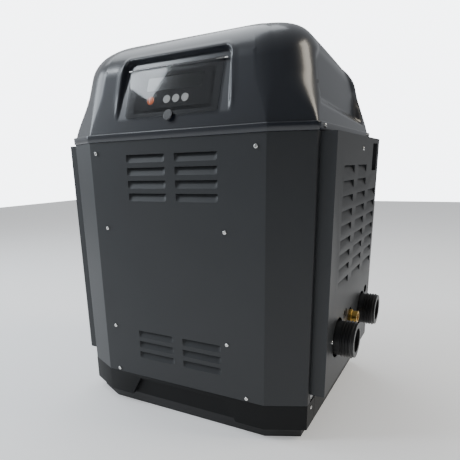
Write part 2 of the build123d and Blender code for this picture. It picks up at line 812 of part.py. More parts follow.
def header_flange(inner_x, thickness):
    """A bolting flange round a header, pierced by the header bolts."""
    with BuildPart() as flange:
        with Locations((inner_x + thickness / 2, port_mid_y, port_height)):
            Box(thickness, 2 * header_half_y, 2 * header_half_z + 28)
        with Locations(*[Location((inner_x, y, z), (0, 90, 0)) for y, z in bolt_spots]):
            Cylinder(header_bolt_radius, 60, mode=Mode.SUBTRACT)
    return flange.part


with BuildPart() as tube_sheets:
    for side in (-1, 1):
        middle = side * (sheet_x + sheet_plate / 2)
        add(header_flange(middle - sheet_plate / 2, sheet_plate))
        with Locations(*[Location((middle, y, port_height), (0, 90, 0)) for y in tube_ys]):
            Cylinder(tube_radius, 3 * sheet_plate, mode=Mode.SUBTRACT)
tube_sheets.part.label = "tube_sheets"
export_step(tube_sheets.part, "parts/tube_sheets.step")

with BuildPart() as header_gaskets:
    for side in (-1, 1):
        middle = side * (sheet_x + sheet_plate + gasket / 2)
        add(header_flange(middle - gasket / 2, gasket))
        with Locations((middle, port_mid_y, port_height)):
            Box(2 * gasket, 2 * header_inner_y, 2 * header_inner_z, mode=Mode.SUBTRACT)
header_gaskets.part.label = "header_gaskets"
export_step(header_gaskets.part, "parts/header_gaskets.step")

finned_half = sheet_x + sheet_plate
fin_count = 30
fin_pitch = 2 * (sheet_x - 18.0) / fin_count
with BuildPart() as finned_tubes:
    with BuildSketch(Plane.XY):
        with Locations((0, tube_radius - 1.0)):
            Rectangle(2 * finned_half, 2.0)
        for index in range(fin_count):
            with Locations(((index - (fin_count - 1) / 2) * fin_pitch, (fin_radius + tube_radius - 1) / 2)):
                Rectangle(2.0, fin_radius - tube_radius + 1)
    revolve(axis=Axis.X)
with BuildPart() as tube_bank:
    with Locations(*[(0, y, port_height) for y in tube_ys]):
        add(finned_tubes.part)
tube_bank.part.label = "finned_tubes"
export_step(tube_bank.part, "parts/finned_tubes.step")

with BuildPart() as water_header:
    add(header_flange(header_x, header_wall))
    with Locations(((header_x + header_far) / 2, port_mid_y, port_height)):
        Box(header_far - header_x, 2 * header_half_y, 2 * header_half_z)
    with Locations(((header_x + header_far) / 2 - header_wall, port_mid_y, port_height)):
        Box(
            header_far - header_x,
            2 * header_inner_y,
            2 * header_inner_z,
            mode=Mode.SUBTRACT,
        )
    with Locations(((header_x + header_far - header_wall) / 2, port_mid_y, port_height)):
        Box(header_far - header_wall - header_x, divider, 2 * header_inner_z)
    with Locations(Location((header_x_middle, port_mid_y, port_height), (90, 0, 0))):
        Cylinder(bypass_radius, 2 * divider, mode=Mode.SUBTRACT)
    with Locations(((header_x + header_far - header_wall) / 2, port_mid_y + 30, port_height)):
        Box(header_far - header_wall - header_x, 5, 12)
    with Locations(Location((header_x_middle, port_mid_y + 30, port_height), (90, 0, 0))):
        Cylinder(3.0 + clearance, 10, mode=Mode.SUBTRACT)
    with Locations(*[Location((header_far, y, port_height), (0, 90, 0)) for y in port_ys]):
        Cylinder(tail_bore_radius - 1, 4 * header_wall, mode=Mode.SUBTRACT)
    with Locations(*[(header_x_middle, y, port_height - header_half_z) for y in drain_ys]):
        Cylinder(6.0, 4 * header_wall, mode=Mode.SUBTRACT)
    with Locations(*[(header_x_middle, y, port_height + header_half_z) for y in fitting_ys]):
        Cylinder(4.0, 4 * header_wall, mode=Mode.SUBTRACT)
water_header.part.label = "water_header"
export_step(water_header.part, "parts/water_header.step")

with BuildPart() as return_header:
    add(header_flange(-header_x - header_wall, header_wall))
    with Locations((-(header_x + 20), port_mid_y, port_height)):
        Box(40, 2 * header_half_y, 2 * header_half_z)
    with Locations((-(header_x + 20 - header_wall), port_mid_y, port_height)):
        Box(40, 2 * header_inner_y, 2 * header_inner_z, mode=Mode.SUBTRACT)
return_header.part.label = "return_header"
export_step(return_header.part, "parts/return_header.step")

stack_length = sheet_plate + gasket + header_wall


def header_bolt(y, z):
    """A bolt and its nut through the tube sheet, the gasket and the header's flange."""
    with BuildPart() as bolt:
        with BuildSketch(Plane(origin=(sheet_x + stack_length, y, z), z_dir=(1, 0, 0))):
            RegularPolygon(5.5, 6)
        extrude(amount=4.5)
        with Locations(Location((sheet_x + stack_length / 2, y, z), (0, 90, 0))):
            Cylinder(header_bolt_radius, stack_length)
    return bolt.part


with BuildPart() as header_bolts:
    for y, z in bolt_spots:
        add(mirrored_pair(header_bolt(y, z)))
header_bolts.part.label = "header_bolts"
export_step(header_bolts.part, "parts/header_bolts.step")

thread_pitch = 6.0
thread_count = 4
tail_body_radius = tail_thread_radius - 2.5
tail_flange_radius = 34.0
for tail_name, y in zip(("water_inlet_tail", "water_outlet_tail"), port_ys):
    points = [(header_far + 4, tail_bore_radius), (header_far + 4, tail_flange_radius)]
    points += [(header_far + 12, tail_flange_radius), (header_far + 12, tail_body_radius)]
    for index in range(thread_count):
        crest = tail_end_x - 3.0 - (thread_count - index) * thread_pitch
        points += [(crest, tail_body_radius), (crest + 1.5, tail_thread_radius)]
        points += [(crest + 3.0, tail_thread_radius), (crest + 4.5, tail_body_radius)]
    points += [(tail_end_x, tail_body_radius), (tail_end_x, tail_bore_radius)]
    with BuildPart() as water_tail:
        add(turned(y, port_height, points))
    water_tail.part.label = tail_name
    export_step(water_tail.part, f"parts/{tail_name}.step")

with BuildPart() as tail_seals:
    for y in port_ys:
        edge = header_far + 4
        add(turned(y, port_height, [(header_far, 27), (header_far, 33), (edge, 33), (edge, 27)]))
tail_seals.part.label = "tail_seals"
export_step(tail_seals.part, "parts/tail_seals.step")

with BuildPart() as drain_plugs:
    with Locations(*[(header_x_middle, y, port_height - header_half_z) for y in drain_ys]):
        Cylinder(6.0, header_wall, align=upward)
        Cylinder(11.0, 5.0, align=downward)
drain_plugs.part.label = "drain_plugs"
export_step(drain_plugs.part, "parts/drain_plugs.step")

poppet_y = port_mid_y + divider / 2 + clearance
with BuildPart() as bypass_poppet:
    with Locations(Location((header_x_middle, poppet_y + 2, port_height), (90, 0, 0))):
        Cylinder(bypass_radius + 3, 4)
    with Locations(Location((header_x_middle, poppet_y + 22, port_height), (90, 0, 0))):
        Cylinder(3.0, 36)
bypass_poppet.part.label = "bypass_poppet"
export_step(bypass_poppet.part, "parts/bypass_poppet.step")

spring_radius = 8.0
spring_wire = 0.9
spring_low = poppet_y + 14.6
spring_length = 8.2
with BuildPart() as spring_coil:
    with BuildLine() as coil:
        Helix(pitch=spring_length / 3, height=spring_length - 2 * spring_wire, radius=spring_radius)
    with BuildSketch(Plane(origin=coil.line @ 0, z_dir=coil.line % 0)):
        Circle(spring_wire)
    sweep(path=coil.line, is_frenet=True)
with BuildPart() as bypass_spring:
    with Locations(Location((header_x_middle, spring_low + spring_wire, port_height), (-90, 0, 0))):
        add(spring_coil.part)
bypass_spring.part.label = "bypass_spring"
export_step(bypass_spring.part, "parts/bypass_spring.step")


def header_fitting(name, y, radius, height):
    """A sensor or switch screwed into the top of the water header."""
    with BuildPart() as fitting:
        with Locations((header_x_middle, y, port_height + header_half_z)):
            Cylinder(4.0, 14, align=downward)
            Cylinder(radius, height, align=upward)
        fillet(fitting.edges().sort_by(Axis.Z)[-1], 2)
    fitting.part.label = name
    export_step(fitting.part, f"parts/{name}.step")


header_fitting("pressure_switch", pressure_y, 20, 24)
header_fitting("high_limit_switch", limit_y, 11, 12)
header_fitting("temperature_sensor", sensor_y, 8, 16)

# ---- Burner and gas train -------------------------------------------------------------------
chamber_half_x = sheet_x
chamber_top = port_height - 36.0
burner_height = chamber_top - 48.0
burner_radius = 12.0
burner_count = 8
burner_pitch = 2 * (sheet_x - 22.0) / burner_count
slot_pitch = chamber_half_y / 10
burner_xs = [(index - (burner_count - 1) / 2) * burner_pitch for index in range(burner_count)]
burner_front = port_mid_y - chamber_half_y - 14.0
burner_rear = port_mid_y + chamber_half_y
board_low = chamber_top - 34.0
board_depth = 18.0
manifold_y = burner_front - 30.0
manifold_radius = 11.0
gas_x = half_width + 7.0
gas_drop_x = half_width - 36.0
gas_pipe_radius = 10.5
valve_x = burner_xs[-1] + 6.0
valve_half = 32.0
valve_half_z = 28.0

with BuildPart() as combustion_chamber:
    with Locations((0, port_mid_y, (tray_floor + chamber_top) / 2)):
        Box(2 * chamber_half_x, 2 * chamber_half_y, chamber_top - tray_floor)
        Box(2 * chamber_half_x - 3, 2 * chamber_half_y - 3, chamber_top - tray_floor, mode=Mode.SUBTRACT)
    with Locations(*[Location((x, port_mid_y, burner_height), (90, 0, 0)) for x in burner_xs]):
        Cylinder(burner_radius, 3 * chamber_half_y, mode=Mode.SUBTRACT)
combustion_chamber.part.label = "combustion_chamber"
export_step(combustion_chamber.part, "parts/combustion_chamber.step")

with BuildPart() as insulation_boards:
    board_middle = (board_low + chamber_top) / 2
    for side in (-1, 1):
        with Locations((side * (chamber_half_x - 1.5 - board_depth / 2), port_mid_y, board_middle)):
            Box(board_depth, 2 * chamber_half_y - 3, chamber_top - board_low)
        with Locations((0, port_mid_y + side * (chamber_half_y - 1.5 - board_depth / 2), board_middle)):
            Box(2 * (chamber_half_x - 2 - board_depth), board_depth, chamber_top - board_low)
insulation_boards.part.label = "insulation_boards"
export_step(insulation_boards.part, "parts/insulation_boards.step")

with BuildPart() as burner_tubes:
    for x in burner_xs:
        with Locations(Location((x, (burner_front + burner_rear) / 2, burner_height), (90, 0, 0))):
            Cylinder(burner_radius, burner_rear - burner_front)
        with Locations(Location((x, burner_front + 60, burner_height), (90, 0, 0))):
            Cylinder(burner_radius - 1.5, 240, mode=Mode.SUBTRACT)
        slot_ys = [port_mid_y + (index - 7.5) * slot_pitch for index in range(16)]
        with Locations(*[(x, y, burner_height + burner_radius) for y in slot_ys]):
            Box(10, 3, 8, mode=Mode.SUBTRACT)
burner_tubes.part.label = "burner_tubes"
export_step(burner_tubes.part, "parts/burner_tubes.step")

manifold_far = -sheet_x + 32.0
with BuildPart() as gas_manifold:
    manifold_length = valve_x - valve_half - manifold_far
    with Locations(Location((manifold_far + manifold_length / 2, manifold_y, burner_height), (0, 90, 0))):
        Cylinder(manifold_radius, manifold_length)
        Cylinder(manifold_radius - 3, manifold_length - 6, mode=Mode.SUBTRACT)
    for x in burner_xs[:-1]:
        with Locations(Location((x, (manifold_y + burner_front) / 2 + 4, burner_height), (90, 0, 0))):
            Cylinder(4.0, burner_front - manifold_y - 8)
    foot_height = burner_height - manifold_radius - tray_floor + 1
    for x in (manifold_far + 16, valve_x - 60):
        with Locations((x, manifold_y, tray_floor)):
            Box(14, 16, foot_height, align=upward)
gas_manifold.part.label = "gas_manifold"
export_step(gas_manifold.part, "parts/gas_manifold.step")

with BuildPart() as gas_valve:
    with Locations((valve_x, manifold_y, burner_height)):
        Box(2 * valve_half, 52, 2 * valve_half_z)
    fillet(gas_valve.edges().filter_by(Axis.Z), 5)
    with Locations((valve_x, manifold_y, burner_height + valve_half_z)):
        Cylinder(5.0, 6, align=upward)
    with Locations(Location((valve_x, manifold_y - 26, burner_height + 4), (90, 0, 0))):
        Cylinder(16.0, 8, align=upward)
gas_valve.part.label = "gas_valve"
export_step(gas_valve.part, "parts/gas_valve.step")

knob_low = burner_height + valve_half_z + clearance
with BuildPart() as valve_knob:
    with Locations((valve_x, manifold_y, knob_low)):
        Cylinder(14.0, 18, align=upward)
    with Locations((valve_x, manifold_y, knob_low + 18)):
        Box(6, 26, 8)
    with Locations((valve_x, manifold_y, knob_low)):
        Cylinder(5.0 + clearance, 12, mode=Mode.SUBTRACT)
valve_knob.part.label = "valve_knob"
export_step(valve_knob.part, "parts/valve_knob.step")

with BuildPart() as gas_pipe:
    with BuildLine() as gas_route:
        FilletPolyline(
            (gas_x + 14, gas_y, gas_height),
            (gas_x, gas_y, gas_height),
            (gas_x, gas_y, burner_height),
            (gas_drop_x, gas_y, burner_height),
            (gas_drop_x, manifold_y, burner_height),
            (valve_x + valve_half, manifold_y, burner_height),
            radius=13.0,
        )
    with BuildSketch(Plane(origin=(gas_x + 14, gas_y, gas_height), z_dir=(-1, 0, 0))):
        Circle(gas_pipe_radius)
        Circle(gas_pipe_radius - 2.6, mode=Mode.SUBTRACT)
    sweep(path=gas_route.line)
gas_pipe.part.label = "gas_pipe"
export_step(gas_pipe.part, "parts/gas_pipe.step")

brass_end_x = cover_x + 18.0
gas_bore_radius = 9.0
with BuildPart() as gas_inlet:
    with BuildSketch(Plane(origin=(gas_x + 14, gas_y, gas_height), z_dir=(1, 0, 0))):
        RegularPolygon(16.0, 6)
    extrude(amount=14)
    with Locations(Location((gas_x + 14, gas_y, gas_height), (0, 90, 0))):
        Cylinder(13.2, brass_end_x - gas_x - 14, align=upward)
        Cylinder(gas_bore_radius, 100, mode=Mode.SUBTRACT)
gas_inlet.part.label = "gas_inlet"
export_step(gas_inlet.part, "parts/gas_inlet.step")

with BuildPart() as igniter:
    igniter_y = port_mid_y - chamber_half_y
    for side in (-1, 1):
        with Locations(Location((burner_xs[0] + side * 24, igniter_y, chamber_top - 20), (90, 0, 0))):
            Cylinder(7.0, 24, align=upward)
igniter.part.label = "igniter_and_flame_sensor"
export_step(igniter.part, "parts/igniter_and_flame_sensor.step")

# ---- Flue and draught fan -------------------------------------------------------------------
collector_low = port_height + header_half_z + 16.0
collector_high = collector_low + 79.0
neck_half = 60.0
fan_radius = 92.0
fan_height = 70.0
impeller_radius = 68.0
shaft_radius = 4.0
fan_floor = collector_high + sheet
fan_top = fan_floor + fan_height
duct_radius = 40.0
duct_y = half_depth - 115.0
duct_bend = rim_top + 50.0
duct_end_y = half_depth - 28.0


def collector_form(inset):
    """The flue collector's outer form, from the tube bank's rectangle up to a round neck."""
    with BuildPart() as form:
        with BuildSketch(Plane.XY.offset(collector_low)):
            with Locations((0, port_mid_y)):
                Rectangle(2 * (sheet_x - inset), 2 * (chamber_half_y - inset))
        with BuildSketch(Plane.XY.offset(collector_high)):
            with Locations((0, port_mid_y)):
                Rectangle(2 * (neck_half - inset), 2 * (neck_half - inset))
        loft(ruled=True)
    return form.part


with BuildPart() as flue_collector:
    add(collector_form(0))
    add(collector_form(sheet), mode=Mode.SUBTRACT)
    for side in (-1, 1):
        skirt_y = port_mid_y + side * (chamber_half_y - sheet / 2)
        with Locations((0, skirt_y, (chamber_top + collector_low) / 2)):
            Box(2 * sheet_x, sheet, collector_low - chamber_top)
flue_collector.part.label = "flue_collector"
export_step(flue_collector.part, "parts/flue_collector.step")

with BuildPart() as fan_housing:
    with Locations((0, port_mid_y, collector_high)):
        Cylinder(fan_radius, fan_height + 2 * sheet, align=upward)
    with Locations((0, duct_y / 2 + 20, collector_high)):
        Box(2 * duct_radius + 4, duct_y + 60, fan_height + 2 * sheet, align=upward)
    with Locations((0, port_mid_y, fan_floor)):
        Cylinder(fan_radius - sheet, fan_height, align=upward, mode=Mode.SUBTRACT)
    with Locations((0, duct_y / 2 + 20, fan_floor)):
        Box(
            2 * duct_radius,
            duct_y + 56,
            fan_height,
            align=upward,
            mode=Mode.SUBTRACT,
        )
    with Locations((0, port_mid_y, collector_high)):
        Cylinder(50, 3 * sheet, mode=Mode.SUBTRACT)
    with Locations((0, duct_y, fan_top)):
        Cylinder(duct_radius - sheet, 4 * sheet, mode=Mode.SUBTRACT)
    with Locations((0, port_mid_y, fan_top)):
        Cylinder(12, 4 * sheet, mode=Mode.SUBTRACT)
fan_housing.part.label = "fan_housing"
export_step(fan_housing.part, "parts/fan_housing.step")

blade_count = 24
with BuildPart() as impeller:
    with Locations((0, port_mid_y, fan_top - 12)):
        Cylinder(impeller_radius, 2, align=upward)
        Cylinder(11, 16, align=downward)
    with Locations((0, port_mid_y, fan_floor + 8)):
        Cylinder(impeller_radius, 2, align=upward)
        Cylinder(impeller_radius - 12, 6, mode=Mode.SUBTRACT)
    with Locations((0, port_mid_y, (fan_floor + 8 + fan_top - 12) / 2 + 1)):
        with PolarLocations(impeller_radius - 7, blade_count):
            Box(12, 1.6, fan_top - fan_floor - 20)
    with Locations((0, port_mid_y, fan_top - 20)):
        Cylinder(shaft_radius, 44, align=upward)
impeller.part.label = "impeller"
export_step(impeller.part, "parts/impeller.step")

motor_low = fan_top + sheet
with BuildPart() as fan_motor:
    with Locations((0, port_mid_y, motor_low)):
        Cylinder(44, 8, align=upward)
    with Locations((0, port_mid_y, motor_low + 8)):
        Cylinder(34, 52, align=upward)
    fillet(fan_motor.edges().sort_by(Axis.Z)[-1], 6)
    with Locations((0, port_mid_y, motor_low)):
        Cylinder(shaft_radius + pin_running_fit, 30, align=upward, mode=Mode.SUBTRACT)
fan_motor.part.label = "fan_motor"
export_step(fan_motor.part, "parts/fan_motor.step")

with BuildPart() as flue_duct:
    with BuildLine() as duct_route:
        FilletPolyline(
            (0, duct_y, motor_low),
            (0, duct_y, duct_bend),
            (0, duct_end_y, duct_bend),
            radius=48.0,
        )
    with BuildSketch(Plane.XY.offset(motor_low)):
        with Locations((0, duct_y)):
            Circle(duct_radius - sheet)
            Circle(duct_radius - 2 * sheet, mode=Mode.SUBTRACT)
    sweep(path=duct_route.line)
flue_duct.part.label = "flue_duct"
export_step(flue_duct.part, "parts/flue_duct.step")

grille_bars = 7
with BuildPart() as flue_grille:
    grille_middle = (flue_low + flue_high) / 2
    rear_y = wall_at(half_depth, grille_middle, 0)
    grille_out = (0, cos(hood_lean), sin(hood_lean))
    grille_plane = Plane(origin=(0, rear_y, grille_middle), x_dir=(-1, 0, 0), z_dir=grille_out)
    with BuildSketch(grille_plane):
        Rectangle(2 * flue_half + 20, flue_high - flue_low + 22)
        Rectangle(2 * flue_half - 12, flue_high - flue_low - 12, mode=Mode.SUBTRACT)
    extrude(amount=2.5)
    with BuildSketch(grille_plane):
        with GridLocations(0, (flue_high - flue_low) / grille_bars, 1, grille_bars):
            Rectangle(2 * flue_half, 2.4)
        with GridLocations(flue_half, 0, 3, 1):
            Rectangle(3, flue_high - flue_low)
    extrude(amount=2.5)
flue_grille.part.label = "flue_grille"
export_step(flue_grille.part, "parts/flue_grille.step")

# ---- Electrics ------------------------------------------------------------------------------
tray_y = -half_depth + 14.0
electrics_low = panel_top - 155.0
electrics_high = panel_top - 45.0
transformer_x = -0.75 * flat_half_x
ignition_x = -0.25 * flat_half_x
terminal_x = 0.45 * flat_half_x

with BuildPart() as electrics_tray:
    with Locations((0, tray_y + 60, electrics_low)):
        Box(2 * rail_x, 2, electrics_high - electrics_low, align=upward)
        Box(2 * flat_half_x, 50, 2, align=(Align.CENTER, Align.MAX, Align.MIN))
electrics_tray.part.label = "electrics_tray"
export_step(electrics_tray.part, "parts/electrics_tray.step")

with BuildPart() as transformer:
    with Locations((transformer_x, tray_y + 34, electrics_low + 2)):
        Box(60, 40, 50, align=upward)
    with Locations((transformer_x, tray_y + 34, electrics_low + 10)):
        Box(36, 48, 34, align=upward)
transformer.part.label = "transformer"
export_step(transformer.part, "parts/transformer.step")

with BuildPart() as ignition_module:
    with Locations((ignition_x, tray_y + 40, electrics_low + 2)):
        Box(90, 34, 60, align=upward)
    fillet(ignition_module.edges().filter_by(Axis.Z), 4)
ignition_module.part.label = "ignition_module"
export_step(ignition_module.part, "parts/ignition_module.step")

with BuildPart() as terminal_block:
    with Locations((terminal_x, tray_y + 44, electrics_low + 2)):
        Box(120, 26, 24, align=upward)
    with Locations((terminal_x, tray_y + 40, electrics_low + 26)):
        with GridLocations(14, 0, 8, 1):
            Cylinder(3.5, 8, mode=Mode.SUBTRACT)
terminal_block.part.label = "terminal_block"
export_step(terminal_block.part, "parts/terminal_block.step")

with BuildPart() as cable_gland:
    gland_y, gland_z = cable_slots[0]
    with Locations(Location((cover_x - 12, gland_y, gland_z), (0, 90, 0))):
        Cylinder(9.0, 22)
    with BuildSketch(Plane(origin=(cover_x - sheet, gland_y, gland_z), z_dir=(-1, 0, 0))):
        RegularPolygon(19.0, 6)
    extrude(amount=6)
    with Locations(Location((cover_x - 12, gland_y, gland_z), (0, 90, 0))):
        Cylinder(6.0, 60, mode=Mode.SUBTRACT)
cable_gland.part.label = "cable_gland"
export_step(cable_gland.part, "parts/cable_gland.step")
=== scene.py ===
"""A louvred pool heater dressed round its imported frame, on a plain pale floor."""

import json
import logging
import math
from dataclasses import dataclass, field
from enum import Enum

import bmesh
import bpy
import numpy as np
from mathutils import Matrix, Vector

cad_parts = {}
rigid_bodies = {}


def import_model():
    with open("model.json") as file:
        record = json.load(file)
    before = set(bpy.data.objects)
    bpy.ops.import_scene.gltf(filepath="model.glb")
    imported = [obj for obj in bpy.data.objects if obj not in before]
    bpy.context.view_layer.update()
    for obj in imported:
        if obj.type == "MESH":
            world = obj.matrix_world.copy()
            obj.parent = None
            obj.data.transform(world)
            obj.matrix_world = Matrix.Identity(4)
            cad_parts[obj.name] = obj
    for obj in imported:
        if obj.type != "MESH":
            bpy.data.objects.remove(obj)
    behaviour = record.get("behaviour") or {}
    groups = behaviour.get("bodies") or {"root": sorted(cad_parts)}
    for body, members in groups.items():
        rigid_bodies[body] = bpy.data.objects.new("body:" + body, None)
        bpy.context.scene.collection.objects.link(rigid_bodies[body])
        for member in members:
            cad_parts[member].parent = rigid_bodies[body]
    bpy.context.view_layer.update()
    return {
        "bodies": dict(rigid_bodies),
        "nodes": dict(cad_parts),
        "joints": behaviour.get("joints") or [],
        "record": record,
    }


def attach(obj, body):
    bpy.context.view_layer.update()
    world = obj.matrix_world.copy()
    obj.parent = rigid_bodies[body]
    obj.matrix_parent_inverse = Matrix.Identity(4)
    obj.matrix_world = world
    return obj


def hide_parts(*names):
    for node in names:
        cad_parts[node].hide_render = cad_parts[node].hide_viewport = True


log = logging.getLogger("pool_heater")

CABINET = "cabinet"
STRAIGHT = 0.999

WALL_LEAN = math.radians(13.0)
TOP_SLOPE = math.radians(8.0)
WINDOW_LEAN = math.radians(20.4)

MOTTLE_SCALE = 9.0
MOTTLE_DETAIL = 4.0
MOTTLE_BAND = (0.3, 0.7)
GRAIN_DETAIL = 2.0
GRAIN_DISTANCE = 0.0004
BRUSHED_STRETCH = (1.0, 12.0, 12.0)

Colour = tuple[float, float, float]
Place = tuple[float, float, float]
Faces = list[list[int]]


class Grain(Enum):
    """The small relief that a finish carries."""

    NONE = "none"
    POWDER = "powder"
    MOULDED = "moulded"
    BRUSHED = "brushed"


@dataclass(frozen=True)
class Finish:
    """One surface finish, built as a node material on Object coordinates."""

    name: str
    colour: Colour
    roughness: float
    metallic: float = 0.0
    coat: float = 0.0
    coat_roughness: float = 0.05
    alpha: float = 1.0
    grain: Grain = Grain.NONE
    grain_scale: float = 900.0
    grain_depth: float = 0.08
    mottle: float = 0.0
    specular: float = 0.5
    glow: float = 0.0

    def material(self) -> bpy.types.Material:
        """Make the material, or return the one already made.

        Returns:
            The Blender material of this finish.
        """
        title = self.name + "_surface"
        made = bpy.data.materials.get(title)
        if made is not None:
            return made
        made = bpy.data.materials.new(title)
        made.use_nodes = True
        shader = made.node_tree.nodes["Principled BSDF"]
        shader.inputs["Base Color"].default_value = (*self.colour, 1.0)
        shader.inputs["Roughness"].default_value = self.roughness
        shader.inputs["Metallic"].default_value = self.metallic
        shader.inputs["Coat Weight"].default_value = self.coat
        shader.inputs["Coat Roughness"].default_value = self.coat_roughness
        shader.inputs["Alpha"].default_value = self.alpha
        shader.inputs["Specular IOR Level"].default_value = self.specular
        shader.inputs["Emission Color"].default_value = (*self.colour, 1.0)
        shader.inputs["Emission Strength"].default_value = self.glow
        if self.mottle > 0:
            self._add_mottle(made.node_tree, shader)
        if self.grain is not Grain.NONE:
            self._add_grain(made.node_tree, shader)
        return made

    def _add_mottle(self, tree: bpy.types.NodeTree, shader: bpy.types.Node) -> None:
        """Vary the colour a little with a broad soft noise.

        Args:
            tree: the material's node tree.
            shader: the surface shader.
        """
        place = tree.nodes.new("ShaderNodeTexCoord")
        noise = tree.nodes.new("ShaderNodeTexNoise")
        noise.inputs["Scale"].default_value = MOTTLE_SCALE
        noise.inputs["Detail"].default_value = MOTTLE_DETAIL
        tints = tree.nodes.new("ShaderNodeValToRGB")
        low = [channel * (1 - self.mottle) for channel in self.colour]
        high = [min(1.0, channel * (1 + self.mottle)) for channel in self.colour]
        for element, position, colour in zip(tints.color_ramp.elements, MOTTLE_BAND, (low, high)):
            element.position = position
            element.color = (*colour, 1.0)
        tree.links.new(place.outputs["Object"], noise.inputs["Vector"])
        tree.links.new(noise.outputs["Fac"], tints.inputs["Fac"])
        tree.links.new(tints.outputs["Color"], shader.inputs["Base Color"])

    def _add_grain(self, tree: bpy.types.NodeTree, shader: bpy.types.Node) -> None:
        """Give the surface its fine relief, drawn out along X where it is brushed.

        Args:
            tree: the material's node tree.
            shader: the surface shader.
        """
        place = tree.nodes.new("ShaderNodeTexCoord")
        noise = tree.nodes.new("ShaderNodeTexNoise")
        noise.inputs["Scale"].default_value = self.grain_scale
        noise.inputs["Detail"].default_value = GRAIN_DETAIL
        bump = tree.nodes.new("ShaderNodeBump")
        bump.inputs["Strength"].default_value = self.grain_depth
        bump.inputs["Distance"].default_value = GRAIN_DISTANCE
        source = place.outputs["Object"]
        if self.grain is Grain.BRUSHED:
            stretch = tree.nodes.new("ShaderNodeMapping")
            stretch.inputs["Scale"].default_value = BRUSHED_STRETCH
            tree.links.new(source, stretch.inputs["Vector"])
            source = stretch.outputs["Vector"]
        tree.links.new(source, noise.inputs["Vector"])
        tree.links.new(noise.outputs["Fac"], bump.inputs["Height"])
        tree.links.new(bump.outputs["Normal"], shader.inputs["Normal"])


FINISHES: dict[str, Finish] = {
    finish.name: finish
    for finish in (
        Finish("plinth_plastic", (0.012, 0.012, 0.013), 0.6, grain=Grain.MOULDED),
        Finish("dark_coat", (0.012, 0.0125, 0.013), 0.55, grain=Grain.POWDER),
        Finish("base_coat", (0.0045, 0.0048, 0.0053), 0.50, specular=0.2, grain=Grain.POWDER),
        Finish(
            "panel_coat", (0.028, 0.030, 0.0325), 0.46, specular=0.35, grain=Grain.POWDER, mottle=0.04
        ),
        Finish(
            "galvanised", (0.45, 0.46, 0.47), 0.42, metallic=1.0, grain=Grain.BRUSHED, mottle=0.12
        ),
        Finish("bright_steel", (0.72, 0.72, 0.70), 0.22, metallic=1.0),
        Finish(
            "hood_gloss", (0.0075, 0.0098, 0.0155), 0.30, coat=0.45, coat_roughness=0.16,
            grain=Grain.MOULDED, grain_scale=260.0, grain_depth=0.03,
        ),
        Finish("smoked_pane", (0.008, 0.009, 0.011), 0.04, alpha=0.32, coat=0.4),
        Finish("tab_plastic", (0.03, 0.03, 0.033), 0.18, coat=0.6),
        Finish("fascia_plastic", (0.012, 0.012, 0.013), 0.5, grain=Grain.MOULDED),
        Finish("orange_button", (1.0, 0.20, 0.04), 0.4, glow=0.45),
        # The white buttons' glow is painted light: the printed discs sit in shade behind the smoked pane,
        # and the glow lifts them although they hold no lamp.
        Finish("white_button", (0.86, 0.88, 0.88), 0.4, glow=0.35),
        Finish("display", (0.015, 0.02, 0.018), 0.12, coat=0.8),
        Finish("circuit_board", (0.01, 0.09, 0.03), 0.4),
        Finish("dark_iron", (0.05, 0.05, 0.052), 0.6, metallic=1.0, grain=Grain.POWDER),
        Finish("gasket_rubber", (0.02, 0.02, 0.02), 0.8),
        Finish("copper", (0.72, 0.36, 0.2), 0.3, metallic=1.0, grain=Grain.BRUSHED, mottle=0.1),
        Finish("header_plastic", (0.016, 0.016, 0.017), 0.5, grain=Grain.MOULDED),
        Finish(
            "tail_plastic", (0.0050, 0.0050, 0.0054), 0.42, grain=Grain.MOULDED, grain_depth=0.05
        ),
        Finish("spring_steel", (0.6, 0.6, 0.6), 0.3, metallic=1.0),
        Finish("sensor_plastic", (0.42, 0.42, 0.4), 0.5),
        Finish("brass_fitting", (0.78, 0.50, 0.13), 0.28, metallic=1.0, mottle=0.1),
        Finish("ceramic_board", (0.78, 0.75, 0.68), 0.9, grain=Grain.POWDER, mottle=0.06),
        Finish("stainless", (0.5, 0.49, 0.47), 0.33, metallic=1.0, grain=Grain.BRUSHED),
        Finish("valve_casting", (0.5, 0.51, 0.52), 0.45, metallic=1.0, grain=Grain.POWDER),
        Finish("red_knob", (0.5, 0.03, 0.02), 0.4, grain=Grain.MOULDED),
        Finish("black_pipe", (0.03, 0.03, 0.031), 0.5, metallic=0.6),
        Finish("ceramic_white", (0.8, 0.79, 0.75), 0.25, coat=0.5),
        Finish("motor_coat", (0.05, 0.055, 0.065), 0.4, grain=Grain.POWDER),
        Finish("grille_coat", (0.014, 0.014, 0.015), 0.45, grain=Grain.POWDER),
    )
}


def show(name: str, mesh: bpy.types.Mesh, finish: str, body: str) -> bpy.types.Object:
    """Show a mesh as a piece at the origin that rides a body.

    Args:
        name: the piece's name.
        mesh: its mesh, in metres in the shared frame.
        finish: the name of its finish and record slot.
        body: the body it moves with.

    Returns:
        The new object.
    """
    mesh.materials.clear()
    mesh.materials.append(FINISHES[finish].material())
    piece = bpy.data.objects.new(name, mesh)
    bpy.context.scene.collection.objects.link(piece)
    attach(piece, body)
    log.info("%s in %s", name, finish)
    return piece


def new_mesh(name: str, points: np.ndarray, faces: Faces) -> bpy.types.Mesh:
    """Make a mesh from points and faces.

    Args:
        name: the mesh's name.
        points: an array of vertex places in metres, one row each.
        faces: the faces as lists of vertex indices.

    Returns:
        The mesh.
    """
    mesh = bpy.data.meshes.new(name)
    mesh.from_pydata(np.asarray(points, float).tolist(), [], faces)
    mesh.validate()
    return mesh


